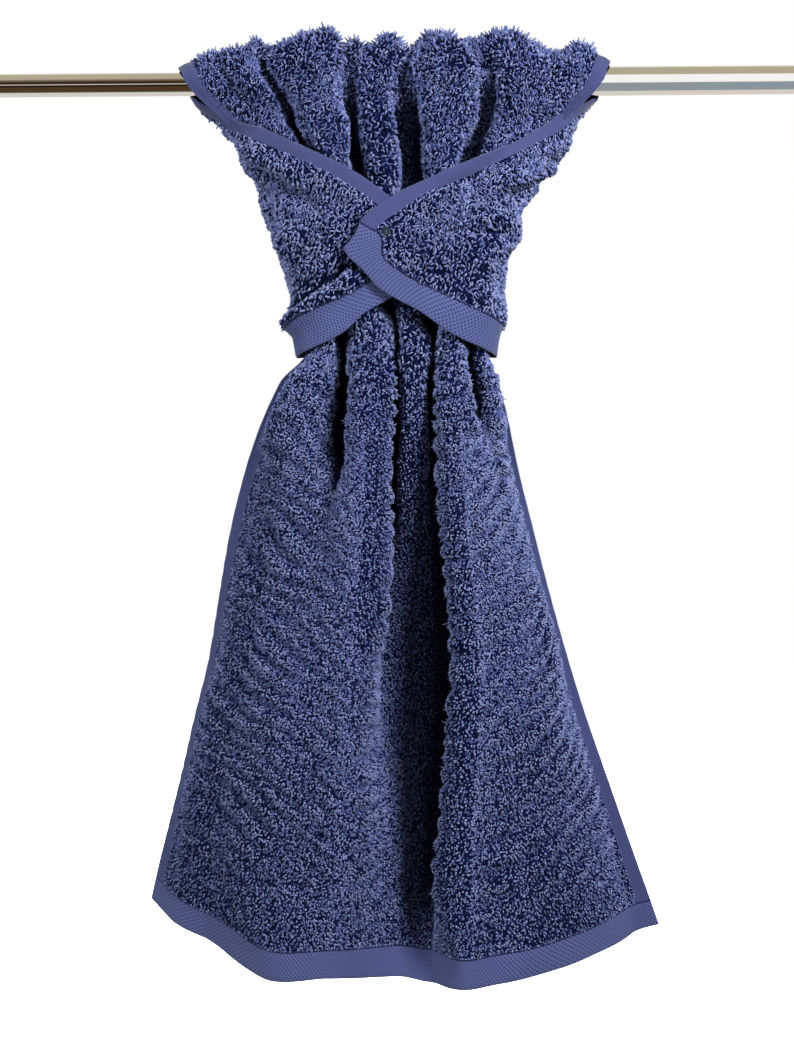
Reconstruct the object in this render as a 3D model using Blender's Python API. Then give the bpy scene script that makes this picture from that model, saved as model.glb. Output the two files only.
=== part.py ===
"""A terry hand towel gathered over a telescopic rod, its back half wrapped round to the front and snapped.

The rod runs along X, the viewer stands at -Y, and Z is up. The origin is the middle of the rod's left end.
Tables and curves are in millimetres, measured from the rod's axis below the middle of the towel. Each mesh
is turned into metres and moved along the rod when it is made.
"""

import math
from collections import namedtuple

import bmesh
import bpy
import numpy as np
from mathutils import Vector

MM = 0.001

# Driving dimensions, in millimetres
ROD_LENGTH = 700
ROD_THIN_RADIUS = 9.5
ROD_WIDE_RADIUS = 11.75
ROD_JOINT = -70  # where the wide tube begins
ROD_INSERT = 60  # how far the thin tube reaches into the wide one
ROD_BORE_RADIUS = 9.85
ROD_SIDES = 64
TOWEL_MIDDLE = 350  # from the rod's left end
TOWEL_WIDTH = 500
CLOTH = 4.0  # from pile tip to pile tip
SNAP_RADIUS = 4.5
SNAP_HEIGHT = 2.4
SNAP_X = -7
SNAP_Z = -129
SEAT_GAP = 0.5

# The front half, from the rod down. Each row is a fold line that runs along the cloth: its distance from the
# left selvedge, then how far it lies sideways (x) and towards the viewer (out) at each level.
Fold = namedtuple(
    "Fold",
    "name share crest_x crest_out rod_x rod_out tuck_x tuck_out throat_x throat_out neck_x neck_out "
    "collar_x collar_out knee_x knee_out mid_x mid_out low_x low_out hem_x hem_out hem_z",
)
FOLDS = (
    Fold(
        "left", 0, -172, 12, -160, 12.4, -118, 3, -88, -4, -71, 0, -92, -10, -131, -50, -162, -65, -189, -78,
        -211, -88, -670,
    ),
    Fold(
        "A", 58, -122, 25, -117, 24, -94, 18, -77, 17, -58, 18, -66, 21, -90, 4, -119, -5, -141, -21,
        -155, -38, -698,
    ),
    Fold(
        "G2", 112, -92, 19, -96, 13, -79, 4, -66, -8, -43, -13, -42, -15, -53, 28, -77, 28, -90, 14,
        -102, 6, -716,
    ),
    Fold(
        "B", 162, -66, 34, -65, 33, -56, 32, -46, 31, -20, 29, -21, 34, -27, 44, -36, 43, -43, 33,
        -58, 25, -710,
    ),
    Fold(
        "G3", 218, -33, 14.7, -36, 14.7, -34, 2, -28, -11, 0, -16, -1, -18, -4, -20, -14, -24, -12, -12,
        -19, 6, -714,
    ),
    Fold("C", 247, -2, 31, -15, 29, -13, 30, -11, 31, 14, 29, 13, 27, 13, -15, 13, -20, 8, -8, 2, 0, -717),
    Fold("G4", 277, 17, 18, 6, 15, 8, 2, 10, -13, 29, -16, 28, -18, 36, -21, 49, -28, 32, -13, 23, 6, -720),
    Fold("D", 336, 37, 33.5, 37, 32, 34, 31, 31, 31, 44, 30, 45, 35, 55, 44, 72, 42, 66, 33, 58, 28, -718),
    Fold("G5", 385, 61, 23, 74, 15, 67, 3, 50, -8, 59, -11, 61, -6, 71, 31, 94, 29, 102, 19, 95, 14, -714),
    Fold("E", 425, 99, 30, 105, 28, 88, 22, 69, 19, 66, 17, 69, 20, 86, 6, 119, 0, 139, -13, 151, -20, -707),
    Fold(
        "right", 500, 173, 14.5, 162, 14.7, 119, 3, 87, -4, 72, 0, 80, -2, 104, -40, 144, -54, 182, -63,
        217, -75, -691,
    ),
)

# The half-width of each groove where the folds are packed
Groove = namedtuple("Groove", "name rod throat collar knee")
GROOVES = (
    Groove("G2", 3.2, 3.6, 5.4, 4),
    Groove("G3", 3.6, 4.6, 3.6, 3.6),
    Groove("G4", 4, 7, 3.6, 3.6),
    Groove("G5", 3.6, 4.4, 3.8, 3.6),
)
EDGE_GROOVE = 3.2  # beside the selvedges

# Levels down the front: length of cloth from the crest, height, how tightly the folds are packed, and how
# far the ridges roll out over their grooves.
Level = namedtuple("Level", "name along z packed rolled")
LEVELS = (
    Level("rod", 40, 0, 0.85, 0),
    Level("tuck", 80, -40, 0.95, 0),
    Level("throat", 130, -90, 1, 0),
    Level("neck", 261, -217, 1, 0),
    Level("collar", 284, -239, 1, 0),
    Level("knee", 380, -330, 0.5, 0.6),
    Level("mid", 532, -480, 0.2, 1),
    Level("low", 655, None, 0, 0.6),
    Level("hem", 750, None, 0, 0),
)
LOW_SHARE = 0.53  # how far down from mid to hem the low level lies

# The wrapped back half. Each row is a level cut through the wrap: how far it reaches to the left and right,
# behind, and in front on the flap that lies under and the flap that lies over.
Section = namedtuple("Section", "z left right back under over")
SECTIONS = (
    Section(0, 166, 168, 15, 14, 14),
    Section(-25, 143, 145, 21, 34, 34),
    Section(-45, 129, 139, 25, 43, 44),
    Section(-62, 118, 130, 26, 45, 49),
    Section(-84, 106, 113, 27, 44, 51),
    Section(-100, 102, 101, 27, 43, 50),
    Section(-130, 95, 94, 27, 42, 50),
    Section(-152, 85, 84, 27, 41, 48),
    Section(-168, 81, 84, 27, 40, 46),
    Section(-188, 86, 86, 27, 38, 44),
    Section(-205, 81, 82, 27, 37, 42),
    Section(-224, 79, 79, 26, 36, 40),
)
SQUARENESS = 2.5

# The edges of the wrapped half, on the right and on the left. Part runs along the edge, and reach is the
# distance round the section from the middle of the back.
Edge = namedtuple("Edge", "part right_reach right_z left_reach left_z")
FLAP_SELVEDGE = (
    Edge(0, 164, 0, 164, 0),
    Edge(0.15, 150, -29, 147, -30),
    Edge(0.25, 173, -38, 163, -36),
    Edge(0.33, 189, -47, 178, -41),
    Edge(0.46, 206, -61, 192, -54),
    Edge(0.63, 221, -80, 209, -75),
    Edge(0.79, 238, -101, 228, -97),
    Edge(0.92, 256, -121, 249, -120),
    Edge(1, 262, -137, 262, -134),
)
WRAP_HEM = (
    Edge(0, 0, -212, 0, -212),
    Edge(0.2, 52, -215, 52, -215),
    Edge(0.36, 95, -221, 95, -220),
    Edge(0.51, 134, -213, 134, -211),
    Edge(0.67, 175, -197, 175, -190),
    Edge(0.81, 212, -176, 212, -166),
    Edge(1, 262, -137, 262, -134),
)
BACK_PLEATS_FADE = 0.62  # share of the way to the wrapped hem where the pleats are gone

# Soft creases across the folds near the rod: distance from the left selvedge, half-width, depth and how far
# down the cloth from the crest they reach.
Crease = namedtuple("Crease", "share width depth reach")
CREASES = (
    Crease(50, 9, 6, 70),
    Crease(233, 7, 5, 40),
    Crease(256, 5, 3, 50),
    Crease(405, 8, 3, 60),
    Crease(459, 12, 10, 60),
)

# How finely the sheet is divided between fold lines and between levels
COLUMNS = (5, 5, 5, 6, 6, 6, 6, 5, 5, 5)
HEM_TO_CREST_ROWS = (2, 3, 4, 3, 2, 4, 2, 2, 5)
CREST_TO_REAR_ROWS = 5
WRAP_ROWS = 12

OVERHANGS = {("B", "G3"): 3, ("G4", "D"): 9}  # how far these ridges roll out over their grooves in the skirt
FOLD_SAMPLES = 33


def smooth(knots, values, at):
    """A curve through the values at the knots that never swings past them."""
    knots = np.asarray(knots, float)
    values = np.asarray(values, float)
    flat = values.reshape(len(knots), -1)
    step = np.diff(knots)[:, None]
    rise = np.diff(flat, axis=0) / step
    slope = np.zeros_like(flat)
    near = 2 * step[1:] + step[:-1]
    far = step[1:] + 2 * step[:-1]
    same_way = rise[:-1] * rise[1:] > 0
    safe_before = np.where(same_way, rise[:-1], 1)
    safe_after = np.where(same_way, rise[1:], 1)
    slope[1:-1] = np.where(same_way, (near + far) / (near / safe_before + far / safe_after), 0)
    slope[0] = rise[0]
    slope[-1] = rise[-1]
    at = np.asarray(at, float)
    i = np.clip(np.searchsorted(knots, at, side="right") - 1, 0, len(knots) - 2)
    t = ((at - knots[i]) / step[i, 0])[:, None]
    h = step[i]
    out = (1 + 2 * t) * (1 - t) ** 2 * flat[i] + t * (1 - t) ** 2 * h * slope[i]
    out += t * t * (3 - 2 * t) * flat[i + 1] + t * t * (t - 1) * h * slope[i + 1]
    return out.reshape((len(at),) + values.shape[1:])


def ease(low, high, value):
    """0 below low, 1 above high, and an S curve between them."""
    t = np.clip((value - low) / (high - low), 0, 1)
    return t * t * (3 - 2 * t)


SHARES = np.array([fold.share for fold in FOLDS], float)


def fold_lines(along):
    """Each fold line's x, distance out from the rod or towards the viewer, and height, down the front."""
    levels = [-LEVELS[0].along, 0] + [level.along for level in LEVELS]
    names = ["rod", "crest"] + [level.name for level in LEVELS]
    x = [[getattr(f, name + "_x") for name in names] for f in FOLDS]
    out = [[getattr(f, name + "_out") for name in names] for f in FOLDS]
    heights = [[level.z for level in LEVELS[:-2]] for f in FOLDS]
    for row, fold in zip(heights, FOLDS):
        mid = row[-1]
        row += [mid + LOW_SHARE * (fold.hem_z - mid), fold.hem_z]
    return (
        smooth(levels, np.transpose(x), along),
        smooth(levels, np.transpose(out), along),
        smooth(levels[2:], np.transpose(heights), np.maximum(along, levels[2])),
    )


def packing(along):
    """How tightly the folds are packed, how far they roll and how wide each groove is, down the front."""
    levels = [0.0] + [level.along for level in LEVELS]
    packed = smooth(levels, [LEVELS[0].packed] + [level.packed for level in LEVELS], along)
    rolled = smooth(levels, [LEVELS[0].rolled] + [level.rolled for level in LEVELS], along)
    reach = {level.name: level.along for level in LEVELS}
    stops = [0, reach["throat"], reach["collar"], reach["knee"], reach["hem"]]
    widths = {
        g.name: smooth(stops, [g.rod, g.throat, g.collar, g.knee, g.knee], along)[:, None] for g in GROOVES
    }
    return packed, rolled, widths


def fold_quarter(width, depth, groove, roll, t):
    """One side of a packed fold, from the top of its ridge to the bottom of its groove, as run and fall.

    The ridge is a quarter of an ellipse that may roll out over the groove, the groove is a quarter of a small
    circle, and a straight wall joins them."""
    groove = np.minimum(groove, 0.45 * np.minimum(width, depth))
    ridge_width = width - groove + roll
    ridge_depth = np.minimum(depth - groove, 1.1 * ridge_width)
    wall_end = width - groove
    turn = np.linspace(0, math.pi / 2, FOLD_SAMPLES)[None, :]
    run = np.concatenate([ridge_width * np.sin(turn), wall_end + groove * (1 - np.cos(turn))], axis=1)
    fall = np.concatenate(
        [ridge_depth * (1 - np.cos(turn)), depth - groove + groove * np.sin(turn)], axis=1
    )
    length = np.cumsum(np.hypot(np.diff(run, axis=1), np.diff(fall, axis=1)), axis=1)
    length = np.concatenate([np.zeros((len(run), 1)), length], axis=1)
    length /= length[:, -1:]
    both = [[np.interp(t, length[i], run[i]), np.interp(t, length[i], fall[i])] for i in range(len(run))]
    return np.array(both).transpose(1, 0, 2)


def prominence(out, j):
    """How far fold line j stands proud of its neighbours, or sinks below them if it is a groove."""
    beside = [k for k in (j - 1, j + 1) if 0 <= k < len(FOLDS)]
    facing = 1 if j % 2 else -1
    return np.min([facing * (out[:, j] - out[:, k]) for k in beside], axis=0)


def cross_section(x, out, along, shares):
    """The section's x and out, a row for each level and a column for each distance from the left selvedge."""
    packed, rolled, grooves = packing(along)
    loose_x = np.array([smooth(SHARES, row, shares) for row in x])
    loose_out = np.array([smooth(SHARES, row, shares) for row in out])
    for j in range(len(FOLDS) - 1):
        inside = (shares >= SHARES[j]) & (shares <= SHARES[j + 1])
        t = (shares[inside] - SHARES[j]) / (SHARES[j + 1] - SHARES[j])
        width = np.maximum(x[:, j + 1] - x[:, j], 1)[:, None]
        fall = np.abs(out[:, j + 1] - out[:, j])[:, None]
        down = j % 2 == 1
        roll = OVERHANGS.get((FOLDS[j].name, FOLDS[j + 1].name), 0) * rolled[:, None]
        groove = grooves.get(FOLDS[j + 1 if down else j].name, EDGE_GROOVE)
        run, drop = fold_quarter(width, np.maximum(fall, 1), groove, roll, t if down else 1 - t)
        start, top = (x[:, j], out[:, j]) if down else (x[:, j + 1], out[:, j + 1])
        tight_x = start[:, None] + (run if down else -run)
        tight_out = top[:, None] - drop
        steep = np.maximum(packed, ease(0.9, 1.8, fall[:, 0] / width[:, 0]))
        proud = ease(-6, 4, prominence(out, j)) * ease(-6, 4, prominence(out, j + 1))
        mix = (steep * proud)[:, None]
        loose_x[:, inside] += mix * (tight_x - loose_x[:, inside])
        loose_out[:, inside] += mix * (tight_out - loose_out[:, inside])
    return loose_x, loose_out


def creased(out, along, shares):
    """Presses the soft creases near the rod into the section."""
    for crease in CREASES:
        across = np.exp(-(((shares - crease.share) / crease.width) ** 2))
        down = 1 - ease(0.3 * crease.reach, crease.reach, np.abs(along))
        out = out - crease.depth * down[:, None] * across[None, :]
    return out


def front(along, shares):
    """Points of the front half, from the crest at 0 down to the hem."""
    x, out, z = fold_lines(along)
    section_x, section_out = cross_section(x, out, along, shares)
    section_out = creased(section_out, along, shares)
    height = np.array([smooth(SHARES, row, shares) for row in z])
    over = np.minimum(along / LEVELS[0].along, 1)[:, None] * math.pi / 2
    y = -section_out * np.where(along[:, None] < LEVELS[0].along, np.sin(over), 1)
    height = np.where(along[:, None] < LEVELS[0].along, section_out * np.cos(over), height)
    return np.stack([section_x, y, height], axis=2)


def wrap_grid():
    """The wrap's sections as grids of reach, x and y, a row for each height, the right side then the left."""
    z = np.linspace(0, SECTIONS[-1].z, 113)
    knots = [-s.z for s in SECTIONS]
    turn = np.linspace(0, 1.6 * math.pi, 241)
    power = 2 / SQUARENESS
    sides = []
    for side, facing, flap in (("right", 1, "over"), ("left", -1, "under")):
        width, back, ahead = (
            smooth(knots, [getattr(s, name) for s in SECTIONS], -z)[:, None] for name in (side, "back", flap)
        )
        run = np.sign(np.sin(turn)) * np.abs(np.sin(turn)) ** power
        rise = np.sign(np.cos(turn)) * np.abs(np.cos(turn)) ** power
        x = width * run
        y = np.where(np.cos(turn) > 0, back, ahead) * rise
        reach = np.cumsum(np.hypot(np.diff(x, axis=1), np.diff(y, axis=1)), axis=1)
        reach = np.concatenate([np.zeros((len(z), 1)), reach], axis=1)
        sides.append((reach, facing * x, y))
    return z, sides


def on_wrap(reach, z):
    """The point of the wrap at each signed reach and height."""
    levels, sides = wrap_grid()
    row = np.clip(-z / -levels[-1] * (len(levels) - 1), 0, len(levels) - 1.001)
    lower = row.astype(int)
    blend = row - lower
    x = np.zeros_like(reach)
    y = np.zeros_like(reach)
    for (lengths, xs, ys), chosen in zip(sides, (reach >= 0, reach < 0)):
        for i in range(len(levels)):
            for offset, weight in ((0, 1 - blend), (1, blend)):
                here = chosen & (lower + offset == i)
                if here.any():
                    x[here] += weight[here] * np.interp(np.abs(reach[here]), lengths[i], xs[i])
                    y[here] += weight[here] * np.interp(np.abs(reach[here]), lengths[i], ys[i])
    return np.stack([x, y, z], axis=-1)


def wrapped(down, shares):
    """Points of the wrapped half, from behind the rod at 0 to its hem at 1."""
    rest = np.array([LEVELS[0].along], float)
    x, out, _ = fold_lines(rest)
    pleat_x, pleat_out = cross_section(x, out, rest, shares)
    pleat_out = creased(pleat_out, rest, shares)
    side = 2 * shares / TOWEL_WIDTH - 1
    part = np.abs(side)[None, :]
    way = np.sign(side)[None, :]
    down = down[:, None]
    corners = [getattr(WRAP_HEM[-1], name) for name in Edge._fields[1:]]
    selvedge = smooth([e.part for e in FLAP_SELVEDGE], [e[1:] for e in FLAP_SELVEDGE], down[:, 0])
    hem = smooth([e.part for e in WRAP_HEM], [e[1:] for e in WRAP_HEM], part[0])
    start = FLAP_SELVEDGE[0].right_reach
    middle = WRAP_HEM[0].right_z
    reach = (1 - down) * pleat_x
    z = (1 - part) * middle * down
    for here, reach_at, z_at in ((side >= 0, 0, 1), (side < 0, 2, 3)):
        swing = selvedge[:, reach_at, None] - (1 - down) * start - down * corners[reach_at]
        reach[:, here] += (way * (down * hem[:, reach_at] + part * swing))[:, here]
        drop = down * hem[:, z_at] + part * selvedge[:, z_at, None]
        z[:, here] += (drop - down * ((1 - part) * middle + part * corners[z_at]))[:, here]
    points = on_wrap(reach, np.minimum(z, 0))
    base = on_wrap(pleat_x, np.zeros_like(pleat_x))[0]
    fade = 1 - ease(0, BACK_PLEATS_FADE, down)
    points[:, :, 0] += fade * (pleat_x[0] - base[:, 0])
    points[:, :, 1] += fade * (pleat_out[0] - base[:, 1])
    return points


def towel_grid(shares, front_rows, crest_rows, wrap_rows):
    """The towel's middle surface from the front hem over the crest to the wrapped hem."""
    hung = front(front_rows[::-1], shares)
    rear = front(crest_rows[1:], shares)
    rear[:, :, 1] *= -1
    return np.concatenate([hung, rear, wrapped(wrap_rows[1:], shares)])


def divided(stops, counts):
    """Places from stop to stop, each stretch divided evenly into its own count."""
    runs = [np.linspace(a, b, n, endpoint=False) for a, b, n in zip(stops[:-1], stops[1:], counts)]
    return np.concatenate(runs + [[stops[-1]]])


def normals_of(grid):
    across = np.gradient(grid, axis=1)
    down = np.gradient(grid, axis=0)
    normal = np.cross(across, down)
    return normal / np.linalg.norm(normal, axis=2, keepdims=True)


def sheet_mesh(name, grid, thickness):
    """A closed sheet of even thickness on the grid of its middle surface."""
    normal = normals_of(grid)
    rows, columns = grid.shape[:2]
    count = rows * columns
    points = np.concatenate([grid + normal * thickness / 2, grid - normal * thickness / 2]).reshape(-1, 3)
    index = np.arange(count).reshape(rows, columns)
    a, b, c, d = index[:-1, :-1], index[:-1, 1:], index[1:, 1:], index[1:, :-1]
    faces = np.stack([a, b, c, d], axis=2).reshape(-1, 4)
    rim = np.concatenate([index[0, :-1], index[:-1, -1], index[-1, :0:-1], index[:0:-1, 0]])
    after = np.roll(rim, -1)
    side = np.stack([after, rim, rim + count, after + count], axis=1)
    mesh = bpy.data.meshes.new(name)
    faces = np.concatenate([faces, faces[:, ::-1] + count, side])
    mesh.from_pydata(((points + (TOWEL_MIDDLE, 0, 0)) * MM).tolist(), [], faces.tolist())
    mesh.update()
    return mesh


def material(name, colour, roughness, metallic):
    made = bpy.data.materials.new(name)
    made.use_nodes = True
    shader = made.node_tree.nodes["Principled BSDF"]
    shader.inputs["Base Color"].default_value = (*colour, 1)
    shader.inputs["Roughness"].default_value = roughness
    shader.inputs["Metallic"].default_value = metallic
    return made


def add_object(name, mesh, finish):
    made = bpy.data.objects.new(name, mesh)
    bpy.context.scene.collection.objects.link(made)
    mesh.materials.append(finish)
    mesh.shade_smooth()
    return made


def add_towel():
    stops = [0] + [level.along for level in LEVELS]
    rows = divided(stops, HEM_TO_CREST_ROWS[::-1])
    crest = divided(stops[:2], (CREST_TO_REAR_ROWS,))
    wrap = divided((0.0, 1.0), (WRAP_ROWS,))
    grid = towel_grid(divided(SHARES, COLUMNS), rows, crest, wrap)
    navy = material("navy terry", (0.028, 0.036, 0.115), 0.95, 0)
    add_object("towel", sheet_mesh("towel", grid, CLOTH), navy)


def turned_mesh(name, outline, sides):
    """The outline of (along, radius) points turned about X, with its first and last points on the axis."""
    shape = bmesh.new()
    points = [shape.verts.new((along, 0, radius)) for along, radius in outline]
    edges = [shape.edges.new(pair) for pair in zip(points[:-1], points[1:])]
    bmesh.ops.spin(shape, geom=points + edges, axis=(1, 0, 0), cent=(0, 0, 0), angle=math.tau, steps=sides)
    bmesh.ops.remove_doubles(shape, verts=shape.verts, dist=1e-5)
    bmesh.ops.recalc_face_normals(shape, faces=shape.faces)
    mesh = bpy.data.meshes.new(name)
    shape.to_mesh(mesh)
    shape.free()
    return mesh


def add_rod():
    """The thin tube slides into the wide one, whose left end is hidden by the towel."""
    joint = (TOWEL_MIDDLE + ROD_JOINT) * MM
    inserted = joint + ROD_INSERT * MM
    thin, wide, bore = ROD_THIN_RADIUS * MM, ROD_WIDE_RADIUS * MM, ROD_BORE_RADIUS * MM
    bore_end = inserted + SEAT_GAP * MM
    length = ROD_LENGTH * MM
    chrome = material("chrome", (0.78, 0.77, 0.75), 0.08, 1)
    thin_outline = [(0, 0), (0, thin), (inserted, thin), (inserted, 0)]
    wide_outline = [(bore_end, 0), (bore_end, bore), (joint, bore), (joint, wide)]
    wide_outline += [(length, wide), (length, 0)]
    for name, outline in (("rod_left", thin_outline), ("rod_right", wide_outline)):
        mesh = turned_mesh(name, outline, ROD_SIDES)
        add_object(name, mesh, chrome)
        mesh.set_sharp_from_angle(angle=math.radians(40))


def snap_seat():
    """The point on the upper flap where the snap sits, and the way it faces."""
    reach = np.linspace(200, 270, 141)
    line = on_wrap(reach, np.full(reach.shape, float(SNAP_Z)))
    place = reach[np.argmin(np.abs(line[:, 0] - SNAP_X))]
    around = np.array([place, place + 1, place])
    near = on_wrap(around, np.array([SNAP_Z, SNAP_Z, SNAP_Z - 1.0]))
    facing = np.cross(near[1] - near[0], near[2] - near[0])
    facing /= np.linalg.norm(facing)
    if facing[1] > 0:
        facing = -facing
    return near[0], facing


def add_snap():
    """A low domed cap on the upper flap near its corner."""
    place, facing = snap_seat()
    base = CLOTH / 2 + SEAT_GAP
    rim = 0.45 * SNAP_HEIGHT
    dome = [
        (base + rim + (SNAP_HEIGHT - rim) * math.sin(a), SNAP_RADIUS * math.cos(a))
        for a in np.linspace(0, math.pi / 2, 6)[:-1]
    ]
    outline = [(base, 0), (base, SNAP_RADIUS)] + dome + [(base + SNAP_HEIGHT, 0)]
    mesh = turned_mesh("snap", [(along * MM, radius * MM) for along, radius in outline], 32)
    cap = add_object("snap", mesh, material("snap cap", (0.02, 0.045, 0.05), 0.25, 0))
    mesh.set_sharp_from_angle(angle=math.radians(40))
    cap.location = Vector(place + (TOWEL_MIDDLE, 0, 0)) * MM
    cap.rotation_euler = Vector((1, 0, 0)).rotation_difference(Vector(facing)).to_euler()


def main():
    for old in list(bpy.data.objects):
        bpy.data.objects.remove(old)
    add_towel()
    add_rod()
    add_snap()


main()
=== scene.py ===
"""The looks of a terry hand towel that hangs over a chrome rod, wrapped at its neck and closed by a snap.

The cloth has the folds of its CAD solid, a little finer. Tables and curves are in millimetres, measured from
the rod's axis below the middle of the towel, and each mesh is turned into metres when it is made.
"""

import math
from collections import namedtuple

import bmesh
import bpy
import numpy as np
from mathutils import Matrix, Vector, noise
from mathutils.bvhtree import BVHTree


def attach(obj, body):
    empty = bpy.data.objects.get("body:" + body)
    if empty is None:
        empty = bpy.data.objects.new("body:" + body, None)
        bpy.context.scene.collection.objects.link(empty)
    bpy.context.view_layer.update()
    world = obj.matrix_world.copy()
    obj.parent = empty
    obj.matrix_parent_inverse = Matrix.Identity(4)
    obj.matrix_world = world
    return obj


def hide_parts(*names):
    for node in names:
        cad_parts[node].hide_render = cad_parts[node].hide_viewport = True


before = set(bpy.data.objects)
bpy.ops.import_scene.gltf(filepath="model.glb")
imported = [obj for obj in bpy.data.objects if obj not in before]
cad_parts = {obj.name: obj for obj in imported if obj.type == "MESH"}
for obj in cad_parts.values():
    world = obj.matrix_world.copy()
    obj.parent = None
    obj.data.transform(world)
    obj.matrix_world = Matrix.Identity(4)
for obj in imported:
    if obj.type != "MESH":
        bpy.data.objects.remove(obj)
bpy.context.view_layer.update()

MM = 0.001
SEED = 11
TOWEL_MIDDLE = 350  # from the rod's left end
TOWEL_WIDTH = 500
TOWEL_LENGTH = 1000

# The front half, from the rod down. Each row is a fold line that runs along the cloth: its distance from the
# left selvedge, then how far it lies sideways (x) and towards the viewer (out) at each level.
Fold = namedtuple(
    "Fold",
    "name share crest_x crest_out rod_x rod_out tuck_x tuck_out throat_x throat_out neck_x neck_out "
    "collar_x collar_out knee_x knee_out mid_x mid_out low_x low_out hem_x hem_out hem_z",
)
FOLDS = (
    Fold(
        "left", 0, -172, 12, -166, 12.6, -127, -2, -88, -4, -71, 0, -92, -10, -131, -50, -162, -65,
        -189, -78, -211, -88, -670,
    ),
    Fold(
        "A", 58, -122, 25, -114, 24, -87, 18, -77, 17, -58, 18, -66, 21, -90, 4, -119, -5, -141, -21,
        -155, -38, -698,
    ),
    Fold(
        "G2", 112, -110, 19, -102, 13, -81, -5, -66, -10, -43, -13, -42, -15, -53, 28, -77, 28, -90, 14,
        -102, 6, -716,
    ),
    Fold(
        "B", 162, -66, 34, -65, 33, -56, 32, -46, 31, -20, 29, -21, 34, -27, 44, -36, 43, -43, 33,
        -58, 25, -710,
    ),
    Fold(
        "G3", 218, -33, 14.7, -36, 14.7, -34, -9, -28, -14, 0, -16, -1, -18, -4, -20, -14, -24, -12, -12,
        -19, 6, -714,
    ),
    Fold("C", 247, -2, 31, -15, 29, -13, 30, -11, 31, 14, 29, 13, 28, 13, 6, 12, -26, 8, -27, 2, -5, -717),
    Fold(
        "G4", 277, 17, 18, 6, 15, 10, -10, 15, -16, 29, -16, 28, -18, 36, -21, 49, -33, 36, -33,
        23, 0, -720,
    ),
    Fold("D", 336, 37, 33.5, 40, 32, 41, 31, 40, 31, 44, 30, 45, 35, 51, 43, 62, 42, 55, 33, 52, 28, -718),
    Fold("G5", 385, 66, 23, 76, 13, 67, -6, 50, -10, 59, -11, 61, -6, 71, 31, 94, 29, 102, 19, 95, 14, -714),
    Fold("E", 425, 99, 30, 105, 28, 88, 22, 69, 19, 66, 17, 69, 20, 86, 6, 119, 0, 139, -13, 151, -20, -707),
    Fold(
        "right", 500, 173, 14.5, 167, 14.7, 130, -2, 87, -4, 72, 0, 80, -2, 104, -40, 144, -54, 182, -63,
        217, -75, -691,
    ),
)

# The half-width of each groove where the folds are packed. They stand wider than on the solid, because the
# pile on both their walls closes them again.
Groove = namedtuple("Groove", "name rod throat collar knee")
GROOVES = (
    Groove("G2", 8, 9, 6.4, 5),
    Groove("G3", 6.5, 8, 3, 2.2),
    Groove("G4", 9.5, 14, 3, 2.4),
    Groove("G5", 12, 10, 5, 5),
)
EDGE_GROOVE = 3.2  # beside the selvedges

# Levels down the front: length of cloth from the crest, height, how tightly the folds are packed, and how
# far the ridges roll out over their grooves.
Level = namedtuple("Level", "name along z packed rolled")
LEVELS = (
    Level("rod", 40, 0, 0.85, 0),
    Level("tuck", 80, -40, 0.95, 0),
    Level("throat", 130, -90, 1, 0),
    Level("neck", 261, -217, 1, 0),
    Level("collar", 284, -239, 1, 0),
    Level("knee", 380, -330, 0.5, 0.6),
    Level("mid", 532, -480, 0.2, 1),
    Level("low", 655, None, 0, 0.6),
    Level("hem", 750, None, 0, 0),
)
LOW_SHARE = 0.53  # how far down from mid to hem the low level lies

# The wrapped back half. Each row is a level cut through the wrap: how far it reaches to the left and right,
# behind, and in front on the flap that lies under and the flap that lies over.
Section = namedtuple("Section", "z left right back under over")
SECTIONS = (
    Section(0, 166, 168, 15, 14, 14),
    Section(-12, 160, 162, 18, 22, 22),
    Section(-27, 142, 148, 21, 35, 35),
    Section(-45, 129, 139, 25, 43, 44),
    Section(-62, 118, 130, 26, 45, 49),
    Section(-84, 106, 113, 27, 44, 51),
    Section(-100, 102, 101, 27, 43, 50),
    Section(-130, 95, 94, 27, 42, 50),
    Section(-152, 85, 84, 27, 41, 48),
    Section(-168, 81, 84, 27, 40, 46),
    Section(-188, 86, 86, 27, 38, 44),
    Section(-205, 81, 82, 27, 37, 42),
    Section(-224, 79, 79, 26, 36, 40),
)
SQUARENESS = 2.5
WRAP_TURN = 1.6 * math.pi  # how far round each side reaches
WRAP_GRID = (113, 241)  # how many levels and places round a side are worked out

# The edges of the wrapped half, on the right and on the left. Part runs along the edge, and reach is the
# distance round the section from the middle of the back.
Edge = namedtuple("Edge", "part right_reach right_z left_reach left_z")
FLAP_SELVEDGE = (
    Edge(0, 164, 0, 164, 0),
    Edge(0.07, 169, -10, 170, -12),
    Edge(0.15, 173, -22, 166, -25),
    Edge(0.25, 183, -36, 170, -35),
    Edge(0.33, 193, -47, 180, -41),
    Edge(0.46, 206, -61, 192, -54),
    Edge(0.63, 221, -80, 209, -75),
    Edge(0.79, 238, -101, 228, -97),
    Edge(0.91, 256, -122, 248, -119),
    Edge(1, 255, -140, 262, -134),
)
WRAP_HEM = (
    Edge(0, 0, -212, 0, -212),
    Edge(0.2, 52, -215, 52, -215),
    Edge(0.36, 95, -221, 95, -220),
    Edge(0.51, 134, -213, 134, -211),
    Edge(0.69, 190, -188, 180, -188),
    Edge(0.82, 215, -173, 214, -165),
    Edge(0.93, 234, -154, 244, -146),
    Edge(1, 255, -140, 262, -134),
)
BACK_PLEATS_FADE = 0.62  # share of the way to the wrapped hem where the pleats are gone

# Soft creases that run down the cloth from the crest: distance from the left selvedge, half-width, depth and
# how far they reach. One with a depth below zero is a small ridge.
Crease = namedtuple("Crease", "share width depth reach")
CREASES = (
    Crease(42, 8, 8, 95),
    Crease(135, 5, 4, 44),
    Crease(233, 6, 6, 66),
    Crease(294, 8, -7, 78),
    Crease(312, 5, 4, 66),
)

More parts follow.
